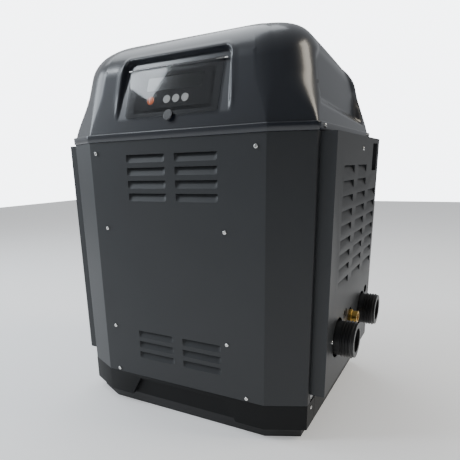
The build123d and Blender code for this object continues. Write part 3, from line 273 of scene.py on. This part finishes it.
def grid_faces(rows: int, columns: int, closed: bool, keep: np.ndarray) -> Faces:
    """Quads of a grid whose vertices run row by row.

    Args:
        rows: how many rows of vertices.
        columns: how many vertices in a row.
        closed: whether the last column joins the first.
        keep: a mask of the cells to keep.

    Returns:
        The faces as lists of four indices.
    """
    spans = columns if closed else columns - 1
    row, column = np.meshgrid(np.arange(rows - 1), np.arange(spans), indexing="ij")
    following = (column + 1) % columns
    quads = np.stack(
        [
            row * columns + column,
            row * columns + following,
            (row + 1) * columns + following,
            (row + 1) * columns + column,
        ],
        axis=-1,
    )
    return quads[keep].tolist()


def clean(piece: bpy.types.Object, distance: float, outward: bool) -> None:
    """Merge doubled vertices and drop flat faces.

    Args:
        piece: the mesh object.
        distance: how near two vertices count as one, in metres.
        outward: whether the faces are turned to point outwards.
    """
    work = bmesh.new()
    work.from_mesh(piece.data)
    bmesh.ops.remove_doubles(work, verts=work.verts, dist=distance)
    bmesh.ops.dissolve_degenerate(work, edges=work.edges, dist=distance)
    if outward:
        bmesh.ops.recalc_face_normals(work, faces=work.faces)
    work.to_mesh(piece.data)
    work.free()


def smooth(piece: bpy.types.Object, degrees: float) -> None:
    """Shade a piece smooth, with sharp edges where faces meet at more than an angle.

    Args:
        piece: the mesh object.
        degrees: the largest angle that still shades smooth.
    """
    mesh = piece.data
    mesh.polygons.foreach_set("use_smooth", np.ones(len(mesh.polygons), bool))
    work = bmesh.new()
    work.from_mesh(mesh)
    limit = math.radians(degrees)
    for edge in work.edges:
        edge.smooth = len(edge.link_faces) == 2 and edge.calc_face_angle(0.0) < limit
    work.to_mesh(mesh)
    work.free()


def bevel(piece: bpy.types.Object, width: float, segments: int, degrees: float) -> None:
    """Round the piece's edges with a live modifier.

    Args:
        piece: the mesh object.
        width: the bevel's width in metres.
        segments: how many faces the bevel has.
        degrees: the smallest angle between faces that counts as an edge.
    """
    edge = piece.modifiers.new("edges", "BEVEL")
    edge.width = width
    edge.segments = segments
    edge.limit_method = "ANGLE"
    edge.angle_limit = math.radians(degrees)
    edge.harden_normals = True


def thicken(piece: bpy.types.Object, thickness: float) -> None:
    """Give an outer skin its wall, inwards.

    Args:
        piece: the mesh object, with its faces pointing outwards.
        thickness: the wall in metres.
    """
    wall = piece.modifiers.new("wall", "SOLIDIFY")
    wall.thickness = thickness
    wall.offset = -1.0
    wall.use_even_offset = False


def smoothstep(value: np.ndarray) -> np.ndarray:
    """The cubic step from 0 to 1: three times the square minus twice the cube."""
    limited = np.clip(value, 0.0, 1.0)
    return limited * limited * (3.0 - 2.0 * limited)


def ramp(value: np.ndarray, start: float, width: float) -> np.ndarray:
    """A smooth rise from 0 at start to 1 at start + width."""
    return smoothstep((value - start) / width)


def direction(start: np.ndarray, end: np.ndarray) -> np.ndarray:
    """The unit vector from one place to another."""
    return (end - start) / np.linalg.norm(end - start)


def tangent_arc(
    corner: np.ndarray, before: np.ndarray, after: np.ndarray, radius: float, steps: int
) -> tuple[np.ndarray, np.ndarray]:
    """Round a corner of an anticlockwise line with the arc that touches both its sides.

    The arc starts radius * tan(turn / 2) ahead of the corner, where turn is the angle
    between the two sides.

    Args:
        corner: the corner.
        before: the unit direction into it.
        after: the unit direction out of it.
        radius: the arc's radius.
        steps: how many steps the arc has.

    Returns:
        The arc's points and their outward normals.
    """
    turn = math.acos(float(np.clip(before @ after, -1, 1)))
    normal = np.array((before[1], -before[0]))
    centre = corner - before * (radius * math.tan(turn / 2)) - normal * radius
    angles = math.atan2(normal[1], normal[0]) + np.linspace(0, turn, steps + 1)
    arc = np.stack([np.cos(angles), np.sin(angles)], axis=1)
    return centre + arc * radius, arc


@dataclass
class Outline:
    """The cabinet's plan: a rectangle with four cut-off corners."""

    half_x: float = 0.278
    half_y: float = 0.250
    cut_x: float = 0.078
    cut_y: float = 0.037

    @property
    def flat_x(self) -> float:
        """Half the front's straight width."""
        return self.half_x - self.cut_x

    def corners(self) -> np.ndarray:
        """The eight corners, anticlockwise from the front's left end."""
        flat_y = self.half_y - self.cut_y
        return np.array(
            [
                (-self.flat_x, -self.half_y),
                (self.flat_x, -self.half_y),
                (self.half_x, -flat_y),
                (self.half_x, flat_y),
                (self.flat_x, self.half_y),
                (-self.flat_x, self.half_y),
                (-self.half_x, flat_y),
                (-self.half_x, -flat_y),
            ]
        )

    def rounded(
        self, radius: float, steps: int, spans: list[np.ndarray]
    ) -> tuple[np.ndarray, np.ndarray]:
        """The closed plan with rounded corners.

        Every corner gives steps + 1 points on its arc, and every straight stretch adds
        the points at the fractions that its span lists.

        Args:
            radius: the arcs' radius.
            steps: how many steps an arc has.
            spans: for each straight stretch, the fractions between 0 and 1 to add.

        Returns:
            The points and their outward normals.
        """
        corners = self.corners()
        ways = [direction(corner, after) for corner, after in zip(corners, np.roll(corners, -1, axis=0))]
        arcs = [
            tangent_arc(corner, ways[index - 1], ways[index], radius, steps)
            for index, corner in enumerate(corners)
        ]
        points = []
        normals = []
        for index, (arc, arc_normals) in enumerate(arcs):
            start = arc[-1]
            end = arcs[(index + 1) % len(arcs)][0][0]
            fractions = spans[index][:, None]
            facing = np.array([[ways[index][1], -ways[index][0]]])
            points += [arc, start + (end - start) * fractions]
            normals += [arc_normals, np.repeat(facing, len(fractions), axis=0)]
        return np.concatenate(points), np.concatenate(normals)


def polygon_depth(x: np.ndarray, y: np.ndarray, corners: tuple[tuple[float, float], ...]) -> np.ndarray:
    """Depth inside a convex polygon: the least distance to its edge lines, negative outside.

    Args:
        x: first coordinates.
        y: second coordinates.
        corners: the polygon's corners, anticlockwise.

    Returns:
        The signed depth at each place.
    """
    depth = np.full(np.shape(x), np.inf)
    for index, (x0, y0) in enumerate(corners):
        x1, y1 = corners[(index + 1) % len(corners)]
        length = math.hypot(x1 - x0, y1 - y0)
        side = ((x1 - x0) * (y - y0) - (y1 - y0) * (x - x0)) / length
        depth = np.minimum(depth, side)
    return depth


@dataclass
class Hood:
    """The moulded hood: a leaning octagon wall rolled over into a sloping top.

    Its skin is a grid whose rows climb from the rim to the ridge and whose columns run
    round the outline. A pair named as a ramp holds its start and its width. The front's
    even columns have a half width and a count, its fine ones a start, an end and a pitch,
    and its outer ones a start, an end and a count.
    """

    outline: Outline = field(default_factory=Outline)
    rim_low: float = 0.595
    rim_top: float = 0.610
    rim_proud: float = 0.003
    rim_round: float = 0.0022
    rim_rows: int = 9
    rim_inset: float = 0.0005
    rim_ledge: tuple[tuple[float, float], ...] = ((0.0006, 0.0001), (0.0015, 0.0005))
    step: float = 0.002
    crest_y: float = -0.135
    crest: float = 0.7888
    side_round: float = 0.065
    front_round: float = 0.090
    rear_round: float = 0.045
    wall: float = 0.0035
    wall_rows: int = 38
    round_rows: int = 56
    top_rows: int = 14
    low_corner: float = 0.012
    high_corner: float = 0.090
    corner_rise: float = 0.085
    corner_steps: int = 8
    even_columns: tuple[float, int] = (0.108, 37)
    fine_columns: tuple[float, float, float] = (0.113, 0.1425, 0.0013)
    outer_columns: tuple[float, float, int] = (0.148, 0.190, 6)
    cut_columns: int = 8
    cut_gap: float = 0.08
    side_columns: int = 64
    rear_columns: int = 30
    end_gap: float = 0.02
    merge: float = 2e-5
    smooth_angle: float = 40.0
    window_y: float = -0.2465
    window_z: float = 0.636
    floor_gap: float = 0.0045
    recess_low: float = 0.128
    recess_high: float = 0.118
    recess_top: float = 0.746
    recess_foot: float = 0.004
    recess_below: float = 0.1
    recess_reach: float = 0.15
    recess_corner: float = 0.014
    recess_ramp: tuple[float, float] = (-0.001, 0.006)
    lip: float = 0.0008
    lip_away: float = 0.004
    lip_width: float = 0.003
    lip_fade: float = 0.004
    taper_ramp: tuple[float, float] = (0.085, 0.025)
    taper_side_ramp: tuple[float, float] = (0.142, 0.058)
    taper_top_ramp: tuple[float, float] = (0.18, 0.12)
    end_facing: float = 0.5
    scoop_depth: float = 0.014
    scoop_wall: float = 0.020
    scoop_low: float = 0.640
    scoop_high: float = 0.790
    scoop_corners: tuple[tuple[float, float], ...] = (
        (-0.172, 0.640),
        (0.168, 0.622),
        (0.164, 0.700),
        (0.115, 0.748),
        (-0.100, 0.762),
        (-0.150, 0.728),
    )
    pane_half: float = 0.085
    pane_low: float = 0.013
    pane_high: float = 0.085
    flue_half: float = 0.078
    flue_low: float = 0.632
    flue_high: float = 0.688

    def _profile(self, start: np.ndarray, normals: np.ndarray) -> tuple[np.ndarray, np.ndarray]:
        """Distances inward and heights along every path from rim to ridge.

        Each path is a leaning line, then an arc that touches it and the top line, then
        the top line itself, height = level + tilt * distance. The arc's radius is the
        mean of the front, side and rear radii weighted by the squares of the outline
        normal's parts.

        Args:
            start: the outline's points.
            normals: the outline's outward normals.

        Returns:
            Two arrays of rows by columns: inward distance and height.
        """
        end_round = self.front_round * (normals[:, 1] < 0) + self.rear_round * (normals[:, 1] >= 0)
        radius = self.side_round * normals[:, 0] ** 2 + end_round * normals[:, 1] ** 2
        lean = math.tan(WALL_LEAN)
        slope = math.tan(TOP_SLOPE)
        tilt = slope * start[:, 1] / self.outline.half_y
        level = self.crest - (start[:, 1] - self.crest_y) * slope
        root = np.sqrt(1 + tilt**2)
        run = self.step + radius / math.cos(WALL_LEAN) + lean * (level - radius * root - self.rim_top)
        centre_d = run / (1 - tilt * lean)
        centre_z = level + tilt * centre_d - radius * root
        wall_d = centre_d - radius * math.cos(WALL_LEAN)
        wall_z = centre_z + radius * math.sin(WALL_LEAN)
        climb = np.linspace(0, 1, self.wall_rows)[:, None]
        first = math.pi - WALL_LEAN
        last = math.pi / 2 + np.arctan(tilt)
        turn = first + (last - first) * np.linspace(0, 1, self.round_rows)[1:, None]
        round_d = centre_d + radius * np.cos(turn)
        round_z = centre_z + radius * np.sin(turn)
        inward = np.linspace(0, 1, self.top_rows)[1:, None]
        top_d = round_d[-1] + (self.outline.half_y - round_d[-1]) * inward
        distance = [self.step + (wall_d - self.step) * climb, round_d, top_d]
        height = [self.rim_top + (wall_z - self.rim_top) * climb, round_z, level + tilt * top_d]
        return np.concatenate(distance), np.concatenate(height)

    def _rim_profile(self) -> np.ndarray:
        """The rim's rounded lip as (inward distance, height) pairs."""
        angles = np.linspace(-math.pi / 2, math.pi / 2, self.rim_rows)
        base = np.where(angles < 0, self.rim_low + self.rim_round, self.rim_top - self.rim_round)
        distance = -self.rim_proud + self.rim_round - self.rim_round * np.cos(angles)
        lip = np.stack([distance, base + self.rim_round * np.sin(angles)], axis=1)
        foot = [(self.rim_inset, self.rim_low)]
        ledge = np.array(self.rim_ledge) + (0.0, self.rim_top)
        return np.concatenate([foot, lip, ledge])

    def _half(self, z: np.ndarray) -> np.ndarray:
        """Half the recess's width at a height, on a straight line from foot to top.

        Args:
            z: heights.

        Returns:
            The half widths.
        """
        share = np.clip((z - self.window_z) / (self.recess_top - self.window_z), -self.recess_below, 1.0)
        return self.recess_low + (self.recess_high - self.recess_low) * share

    def _taper(self, x: np.ndarray, first: np.ndarray, z: np.ndarray, share: np.ndarray) -> np.ndarray:
        """Slide the front's columns so that they run along the recess's leaning sides.

        The front is straight across, so sliding a point sideways leaves it on the
        surface. Near the recess a column stands at first + half(z) - middle, and it goes
        back to its own line beyond the recess's side and before the top.

        Args:
            x: places across on the columns' own lines.
            first: places across at the foot of the columns.
            z: heights.
            share: how far in from the outline to the ridge, 0 to 1.

        Returns:
            The new places across.
        """
        middle = (self.recess_low + self.recess_high) / 2
        size = np.abs(first)
        lean = np.sign(first) * (self._half(z) - middle) * ramp(size, *self.taper_ramp)
        hold = (1 - ramp(size, *self.taper_side_ramp)) * (1 - ramp(share, *self.taper_top_ramp))
        return x * (1 - hold) + (first + lean) * hold

    def _recess(self, x: np.ndarray, y: np.ndarray, z: np.ndarray) -> np.ndarray:
        """Push the front in to the window's leaning floor inside the recess outline.

        A place moves by depth * ramp(inside) - lip * exp(-((inside + away) / width)^2),
        where inside is its distance within the recess outline with rounded top corners.

        Args:
            x: places across.
            y: places from front to rear.
            z: heights.

        Returns:
            The new places from front to rear.
        """
        gap = self.floor_gap / math.cos(WINDOW_LEAN)
        floor = self.window_y + (z - self.window_z) * math.tan(WINDOW_LEAN) + gap
        from_side = self._half(z) - np.abs(x)
        from_top = self.recess_top - z
        corner = self.recess_corner
        nearness = np.hypot(np.clip(corner - from_side, 0, None), np.clip(corner - from_top, 0, None))
        inside = np.minimum(from_side, from_top)
        inside = np.where(nearness > 0, np.minimum(inside, corner - nearness), inside)
        depth = np.clip(floor - y, 0, None) * (y < 0) * (z > self.rim_top + self.recess_foot)
        edge = np.exp(-(((inside + self.lip_away) / self.lip_width) ** 2))
        lip = self.lip * edge * smoothstep(depth / self.lip_fade)
        return y + depth * ramp(inside, *self.recess_ramp) - lip

    def _scoops(self, x: np.ndarray, y: np.ndarray, z: np.ndarray, ends: np.ndarray) -> np.ndarray:
        """Press the large facet into each end, deepest along its lower edge.

        A place moves inward by scoop_depth * fall * smoothstep(depth / scoop_wall), where
        fall goes from 1 at scoop_low to 0 at scoop_high.

        Args:
            x: places across.
            y: places from front to rear.
            z: heights.
            ends: a mask of the columns that face an end.

        Returns:
            The new places across.
        """
        mask = smoothstep(polygon_depth(y, z, self.scoop_corners) / self.scoop_wall)
        fall = np.clip((self.scoop_high - z) / (self.scoop_high - self.scoop_low), 0, 1)
        return x - np.sign(x) * self.scoop_depth * fall * mask * ends

    def _spans(self) -> list[np.ndarray]:
        """Where each straight stretch has columns, close together at the recess's sides."""
        half, count = self.even_columns
        even = np.linspace(-half, half, count)
        fine = np.arange(*self.fine_columns)
        outer = np.linspace(*self.outer_columns)
        front_x = np.concatenate([-outer[::-1], -fine[::-1], even, fine, outer])
        front = (front_x + self.outline.flat_x) / (2 * self.outline.flat_x)
        cut = np.linspace(self.cut_gap, 1 - self.cut_gap, self.cut_columns)
        side = np.linspace(self.end_gap, 1 - self.end_gap, self.side_columns)
        rear = np.linspace(self.end_gap, 1 - self.end_gap, self.rear_columns)
        return [front, cut, side, cut, rear, cut, side, cut]

    def _holes(self, x: np.ndarray, z: np.ndarray, front: np.ndarray, rear: np.ndarray) -> np.ndarray:
        """The cells left out for the fascia and the flue grille.

        Args:
            x: places across.
            z: heights.
            front: a mask of the front's columns.
            rear: a mask of the rear's columns.

        Returns:
            A mask of the cells whose four corners all lie in an opening.
        """
        up = (z - self.window_z) / math.cos(WINDOW_LEAN)
        pane = front & (np.abs(x) < self.pane_half) & (up > self.pane_low) & (up < self.pane_high)
        flue = rear & (np.abs(x) < self.flue_half) & (z > self.flue_low) & (z < self.flue_high)
        inside = pane | flue
        both = inside & np.roll(inside, -1, axis=1)
        return both[:-1] & both[1:]

    def build(self) -> bpy.types.Object:
        """Make the hood's skin, open where the fascia and the flue grille sit.

        Every path runs from its place on the outline towards the ridge, a line of half
        length half_x - half_y: place + (target - place) * distance / half_y.

        Returns:
            The hood.
        """
        spans = self._spans()
        start, normals = self.outline.rounded(self.low_corner, self.corner_steps, spans)
        upper, upper_normals = self.outline.rounded(self.high_corner, self.corner_steps, spans)
        front = ((normals[:, 1] < -STRAIGHT) & (np.abs(start[:, 0]) < self.outline.flat_x))[None, :]
        rear = (normals[:, 1] > STRAIGHT)[None, :]
        ends = (np.abs(normals[:, 0]) > self.end_facing)[None, :]
        distance, z = self._profile(upper, upper_normals)
        rim = self._rim_profile()
        distance = np.concatenate([np.repeat(rim[:, :1], len(start), axis=1), distance])
        z = np.concatenate([np.repeat(rim[:, 1:], len(start), axis=1), z])
        rounding = ramp(z, self.rim_top, self.corner_rise)[:, :, None]
        place = start[None, :, :] * (1 - rounding) + upper[None, :, :] * rounding
        ridge = self.outline.half_x - self.outline.half_y
        target = np.clip(place[..., 0], -ridge, ridge)
        share = distance / self.outline.half_y
        x = place[..., 0] + (target - place[..., 0]) * share
        y = place[..., 1] * (1 - share)
        walls = np.arange(len(z))[:, None] >= len(rim)
        x = np.where(walls & front, self._taper(x, place[..., 0], z, share), x)
        x = np.where(walls, self._scoops(x, y, z, ends), x)
        y = np.where(walls & front & (np.abs(x) < self.recess_reach), self._recess(x, y, z), y)
        faces = grid_faces(*z.shape, True, ~self._holes(x, z, front, rear))
        points = np.stack([x, y, z], axis=-1).reshape(-1, 3)
        hood = show("hood_shell", new_mesh("hood_shell", points, faces), "hood_gloss", CABINET)
        clean(hood, self.merge, outward=True)
        smooth(hood, self.smooth_angle)
        thicken(hood, self.wall)
        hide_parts("hood")
        return hood


@dataclass
class LouvreGroup:
    """One column of louvres on a flat stretch of sheet."""

    middle: float
    width: float
    tops: list[float]
    height: float = 0.0155
    depth: float = 0.0075
    ramp: float = 0.009
    steps_across: tuple[float, ...] = (0.0, 0.2, 0.45, 0.7, 1.0)
    steps_down: tuple[float, ...] = (1.0, 0.85, 0.6, 0.3, 0.08)

    def columns(self) -> np.ndarray:
        """Places across that need a vertex: small steps in from both ends."""
        inward = np.array(self.steps_across) * self.ramp
        left = self.middle - self.width / 2
        right = self.middle + self.width / 2
        return np.concatenate([left + inward, right - inward])

    def levels(self) -> np.ndarray:
        """Heights that need a vertex below the open top edges."""
        drops = self.height * np.array(self.steps_down)
        return (np.array(self.tops)[:, None] - drops).ravel()


@dataclass
class FoldedPanel:
    """A sheet folded round two corners, with louvres pressed inwards."""

    name: str
    rear: bool
    groups: list[LouvreGroup]
    outline: Outline = field(default_factory=Outline)
    low: float = 0.078
    high: float = 0.595
    fold_radius: float = 0.004
    fold_steps: int = 5
    return_depth: float = 0.018
    sheet: float = 0.002
    slit: float = 1e-7
    merge: float = 2e-6
    smooth_angle: float = 14.0
    edge_round: float = 0.0004
    edge_angle: float = 50.0
    face_weight: int = 60

    def _plan(self) -> tuple[np.ndarray, np.ndarray]:
        """The sheet's plan line: a return, a cut-off corner, the front and the same again.

        Returns:
            The line's points and their outward normals.
        """
        corners = self.outline.corners()
        left_end = np.array((-self.outline.half_x, corners[7][1] + self.return_depth))
        right_end = np.array((self.outline.half_x, corners[2][1] + self.return_depth))
        line = [left_end, corners[7], corners[0], corners[1], corners[2], right_end]
        ways = [direction(start, end) for start, end in zip(line, line[1:])]
        arcs = [
            tangent_arc(corner, before, after, self.fold_radius, self.fold_steps)
            for corner, before, after in zip(line[1:], ways, ways[1:])
        ]
        columns = np.unique(np.round(np.concatenate([group.columns() for group in self.groups]), 6))
        front = np.stack([columns, np.full(len(columns), -self.outline.half_y)], axis=1)
        facing = np.repeat(np.array([[0.0, -1.0]]), len(columns), axis=0)
        left_points, left_normals = (np.concatenate(parts) for parts in zip(*arcs[:2]))
        right_points, right_normals = (np.concatenate(parts) for parts in zip(*arcs[2:]))
        points = [left_end[None, :], left_points, front, right_points, right_end[None, :]]
        normals = [np.array([[-1.0, 0.0]]), left_normals, facing, right_normals, np.array([[1.0, 0.0]])]
        return np.concatenate(points), np.concatenate(normals)

    def _rows(self) -> np.ndarray:
        """Heights of the rows, two of them a slit apart at every open top edge."""
        levels = np.concatenate([[self.low, self.high], *(group.levels() for group in self.groups)])
        tops = np.array(sorted({top for group in self.groups for top in group.tops}))
        return np.sort(np.concatenate([np.unique(np.round(levels, 6)), tops, tops + self.slit]))

    def _pressed(self, x: np.ndarray, z: np.ndarray) -> np.ndarray:
        """How far each place of the flat front is pressed in.

        Within a louvre the depth is depth * sqrt(1 - (1 - across)^2) * rise, where across
        climbs to 1 over the ramp at either end and rise from 0 at the foot to 1 at the
        open top.

        Args:
            x: places across.
            z: heights.

        Returns:
            The depths.
        """
        depth = np.zeros(x.shape)
        for group in self.groups:
            across = (group.width / 2 - np.abs(x - group.middle)) / group.ramp
            swell = np.sqrt(np.clip(1 - (1 - np.clip(across, 0, 1)) ** 2, 0, 1))
            for top in group.tops:
                rise = (z - top + group.height) / group.height
                inside = (rise >= 0) & (z <= top + self.slit / 2) & (across > 0)
                depth = np.where(inside, group.depth * swell * np.clip(rise, 0, 1), depth)
        return depth

    def build(self) -> bpy.types.Object:
        """Make the panel: every louvre is a slope from its lower edge to an open top edge.

        Returns:
            The panel.
        """
        rows = self._rows()
        points, normals = self._plan()
        x = np.repeat(points[None, :, 0], len(rows), axis=0)
        z = np.repeat(rows[:, None], len(points), axis=1)
        flat = np.abs(normals[:, 1]) > STRAIGHT
        depth = np.where(flat[None, :], self._pressed(x, z), 0.0)
        inward = -normals[None, :, :] * depth[:, :, None]
        surface = np.stack([x + inward[..., 0], points[None, :, 1] + inward[..., 1], z], axis=-1)
        whole = np.diff(rows) > 10 * self.slit
        keep = np.repeat(whole[:, None], len(points) - 1, axis=1)
        faces = grid_faces(len(rows), len(points), False, keep)
        if self.rear:
            surface = surface * np.array([1.0, -1.0, 1.0])
            faces = [face[::-1] for face in faces]
        title = self.name + "_sheet"
        panel = show(title, new_mesh(title, surface.reshape(-1, 3), faces), "panel_coat", CABINET)
        clean(panel, self.merge, outward=False)
        smooth(panel, self.smooth_angle)
        thicken(panel, self.sheet)
        bevel(panel, self.edge_round, segments=1, degrees=self.edge_angle)
        even = panel.modifiers.new("even", "WEIGHTED_NORMAL")
        even.weight = self.face_weight
        even.keep_sharp = True
        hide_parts(self.name)
        return panel


@dataclass
class FrameNodes:
    """The pieces shown as the frame has them, merged, softly bevelled and dressed."""

    merge: float = 2e-6
    flatten: float = 0.5
    smooth_angle: float = 30.0
    edge_angle: float = 32.0
    bevels: dict[str, float] = field(
        default_factory=lambda: {
            "plinth": 0.0015,
            "base_facia": 0.0006,
            "rear_skirt": 0.0005,
            "right_side_panel": 0.0005,
            "left_side_panel": 0.0005,
            "gas_inlet": 0.0006,
            "cable_gland": 0.0005,
            "flue_grille": 0.0005,
            "control_fascia": 0.0004,
            "control_window": 0.0006,
        }
    )

    def dress(self, frame: dict, replaced: set[str]) -> None:
        """Give every node that stays its finish; copy and bevel those with a listed bevel.

        Args:
            frame: the loaded frame.
            replaced: nodes that new pieces stand for.
        """
        slots = {entry["node"]: entry["material_slot"] for entry in frame["record"]["subparts"]}
        bodies = {}
        for body, nodes in frame["record"]["behaviour"]["bodies"].items():
            bodies.update({node: body for node in nodes})
        for node, piece in frame["nodes"].items():
            if node in replaced:
                continue
            if node in self.bevels:
                self._copy(node, piece, slots[node], bodies[node])
                continue
            piece.data.materials.clear()
            piece.data.materials.append(FINISHES[slots[node]].material())
            log.info("%s in %s", node, slots[node])

    def _copy(self, node: str, piece: bpy.types.Object, finish: str, body: str) -> None:
        """Show a merged, bevelled copy of a node in its place.

        Args:
            node: the node's name.
            piece: the node's object.
            finish: its finish.
            body: the body it rides.
        """
        mesh = piece.data.copy()
        work = bmesh.new()
        work.from_mesh(mesh)
        bmesh.ops.remove_doubles(work, verts=work.verts, dist=self.merge)
        limit = math.radians(self.flatten)
        bmesh.ops.dissolve_limit(work, angle_limit=limit, verts=work.verts, edges=work.edges)
        work.to_mesh(mesh)
        work.free()
        copy = show(node + "_piece", mesh, finish, body)
        smooth(copy, self.smooth_angle)
        bevel(copy, self.bevels[node], segments=2, degrees=self.edge_angle)
        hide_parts(node)


@dataclass(frozen=True)
class SoftLight:
    """One soft rectangular light, its size in metres and its power in watts."""

    name: str
    place: Place
    size: tuple[float, float]
    power: float
    colour: Colour
    aim: Place = (0.0, 0.0, 0.42)

    def add(self) -> None:
        """Stand the light in the scene, turned to its aim."""
        data = bpy.data.lights.new(self.name, "AREA")
        data.shape = "RECTANGLE"
        data.size, data.size_y = self.size
        data.energy = self.power
        data.color = self.colour
        lamp = bpy.data.objects.new(self.name, data)
        bpy.context.scene.collection.objects.link(lamp)
        lamp.location = self.place
        lamp.rotation_mode = "QUATERNION"
        lamp.rotation_quaternion = (Vector(self.aim) - Vector(self.place)).to_track_quat("-Z", "Y")


@dataclass
class Studio:
    """The pale floor, the soft lights, the surroundings and the camera."""

    camera_place: Place = (0.5055, -0.9935, 0.5409)
    yaw: float = 29.818
    pitch: float = 16.269
    roll: float = -1.537
    lens: float = 34.9521
    sensor: float = 36.0
    shift: tuple[float, float] = (0.046478, 0.145935)
    nearest: float = 0.05
    floor_half: float = 6.0
    bright_side: Place = (-0.75, 0.25, 0.6)
    dim_facing: float = -0.7
    dim_sky: float = 0.04
    bright_sky: float = 0.68
    backdrop: float = 6.0
    backdrop_colour: Colour = (0.93, 0.96, 1.0)
    lights: tuple[SoftLight, ...] = (
        SoftLight("left_window", (-2.7, -1.1, 1.6), (1.5, 1.8), 46.0, (0.84, 0.92, 1.0)),
        SoftLight("top_soft", (-0.9, 0.5, 2.6), (2.0, 1.6), 26.0, (0.90, 0.95, 1.0)),
        SoftLight(
            "sky_window", (-1.98, -1.62, 2.96), (0.55, 0.62), 20.0, (0.86, 0.93, 1.0), (-0.03, -0.23, 0.70)
        ),
        SoftLight("right_warm", (2.3, 0.8, 2.2), (1.0, 1.4), 30.0, (1.0, 0.92, 0.78)),
    )

    def lay_floor(self) -> None:
        """Lay a wide pale floor."""
        half = self.floor_half
        corners = np.array([(-half, -half, 0), (half, -half, 0), (half, half, 0), (-half, half, 0)])
        mesh = new_mesh("floor", corners, [[0, 1, 2, 3]])
        mesh.materials.append(Finish("floor_pale", (0.95, 0.95, 0.95), 0.9, glow=0.3).material())
        floor = bpy.data.objects.new("floor", mesh)
        bpy.context.scene.collection.objects.link(floor)

    def surround(self) -> None:
        """Set surroundings that are brighter towards one side, behind an even pale backdrop."""
        world = bpy.data.worlds.new("surroundings")
        world.use_nodes = True
        nodes = world.node_tree.nodes
        links = world.node_tree.links
        backdrop = nodes["Background"]
        backdrop.inputs["Color"].default_value = (*self.backdrop_colour, 1.0)
        place = nodes.new("ShaderNodeTexCoord")
        toward = nodes.new("ShaderNodeVectorMath")
        toward.operation = "DOT_PRODUCT"
        toward.inputs[1].default_value = self.bright_side
        spread = nodes.new("ShaderNodeMapRange")
        spread.inputs["From Min"].default_value = self.dim_facing
        spread.inputs["From Max"].default_value = 1.0
        spread.inputs["To Min"].default_value = self.dim_sky
        spread.inputs["To Max"].default_value = self.bright_sky
        seen = nodes.new("ShaderNodeLightPath")
        choose = nodes.new("ShaderNodeMix")
        choose.inputs["B"].default_value = self.backdrop
        links.new(place.outputs["Generated"], toward.inputs[0])
        links.new(toward.outputs["Value"], spread.inputs["Value"])
        links.new(seen.outputs["Is Camera Ray"], choose.inputs["Factor"])
        links.new(spread.outputs["Result"], choose.inputs["A"])
        links.new(choose.outputs["Result"], backdrop.inputs["Strength"])
        bpy.context.scene.world = world

    def aim_camera(self) -> None:
        """Place the camera by its yaw, pitch and roll, with its lens shifted off centre."""
        yaw, pitch, roll = (math.radians(angle) for angle in (self.yaw, self.pitch, self.roll))
        ahead = Vector((-math.sin(yaw) * math.cos(pitch), math.cos(yaw) * math.cos(pitch), -math.sin(pitch)))
        level = ahead.cross(Vector((0, 0, 1))).normalized()
        upward = level.cross(ahead)
        right = math.cos(roll) * level + math.sin(roll) * upward
        up = -math.sin(roll) * level + math.cos(roll) * upward
        turn = Matrix((right, up, -ahead)).transposed().to_4x4()
        data = bpy.data.cameras.new("camera")
        data.sensor_width = self.sensor
        data.lens = self.lens
        data.shift_x, data.shift_y = self.shift
        data.clip_start = self.nearest
        camera = bpy.data.objects.new("camera", data)
        bpy.context.scene.collection.objects.link(camera)
        camera.matrix_world = Matrix.Translation(Vector(self.camera_place)) @ turn
        bpy.context.scene.camera = camera

    def build(self) -> None:
        """Lay the floor, add the lights and the surroundings and aim the camera."""
        self.lay_floor()
        for light in self.lights:
            light.add()
        self.surround()
        self.aim_camera()


def louvre_columns(upper_rows: int, lower_rows: int) -> list[LouvreGroup]:
    """The two louvre columns of a front or rear panel.

    Args:
        upper_rows: how many louvres are in the upper block.
        lower_rows: how many louvres are in the lower block.

    Returns:
        The two columns.
    """
    pitch = 0.0252
    upper_top = 0.5676
    lower_top = 0.190
    away = 0.058
    width = 0.093
    tops = [lower_top - row * pitch for row in range(lower_rows)]
    tops += [upper_top - row * pitch for row in range(upper_rows)]
    return [LouvreGroup(side * away, width, tops) for side in (-1, 1)]


def main() -> None:
    """Build the object, dress it and set the studio."""
    logging.basicConfig(level=logging.INFO, format="%(message)s")
    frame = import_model()
    Hood().build()
    FoldedPanel("front_panel", False, louvre_columns(4, 3)).build()
    FoldedPanel("rear_panel", True, louvre_columns(4, 0)).build()
    FrameNodes().dress(frame, {"hood", "front_panel", "rear_panel"})
    Studio().build()


if __name__ == "__main__":
    main()
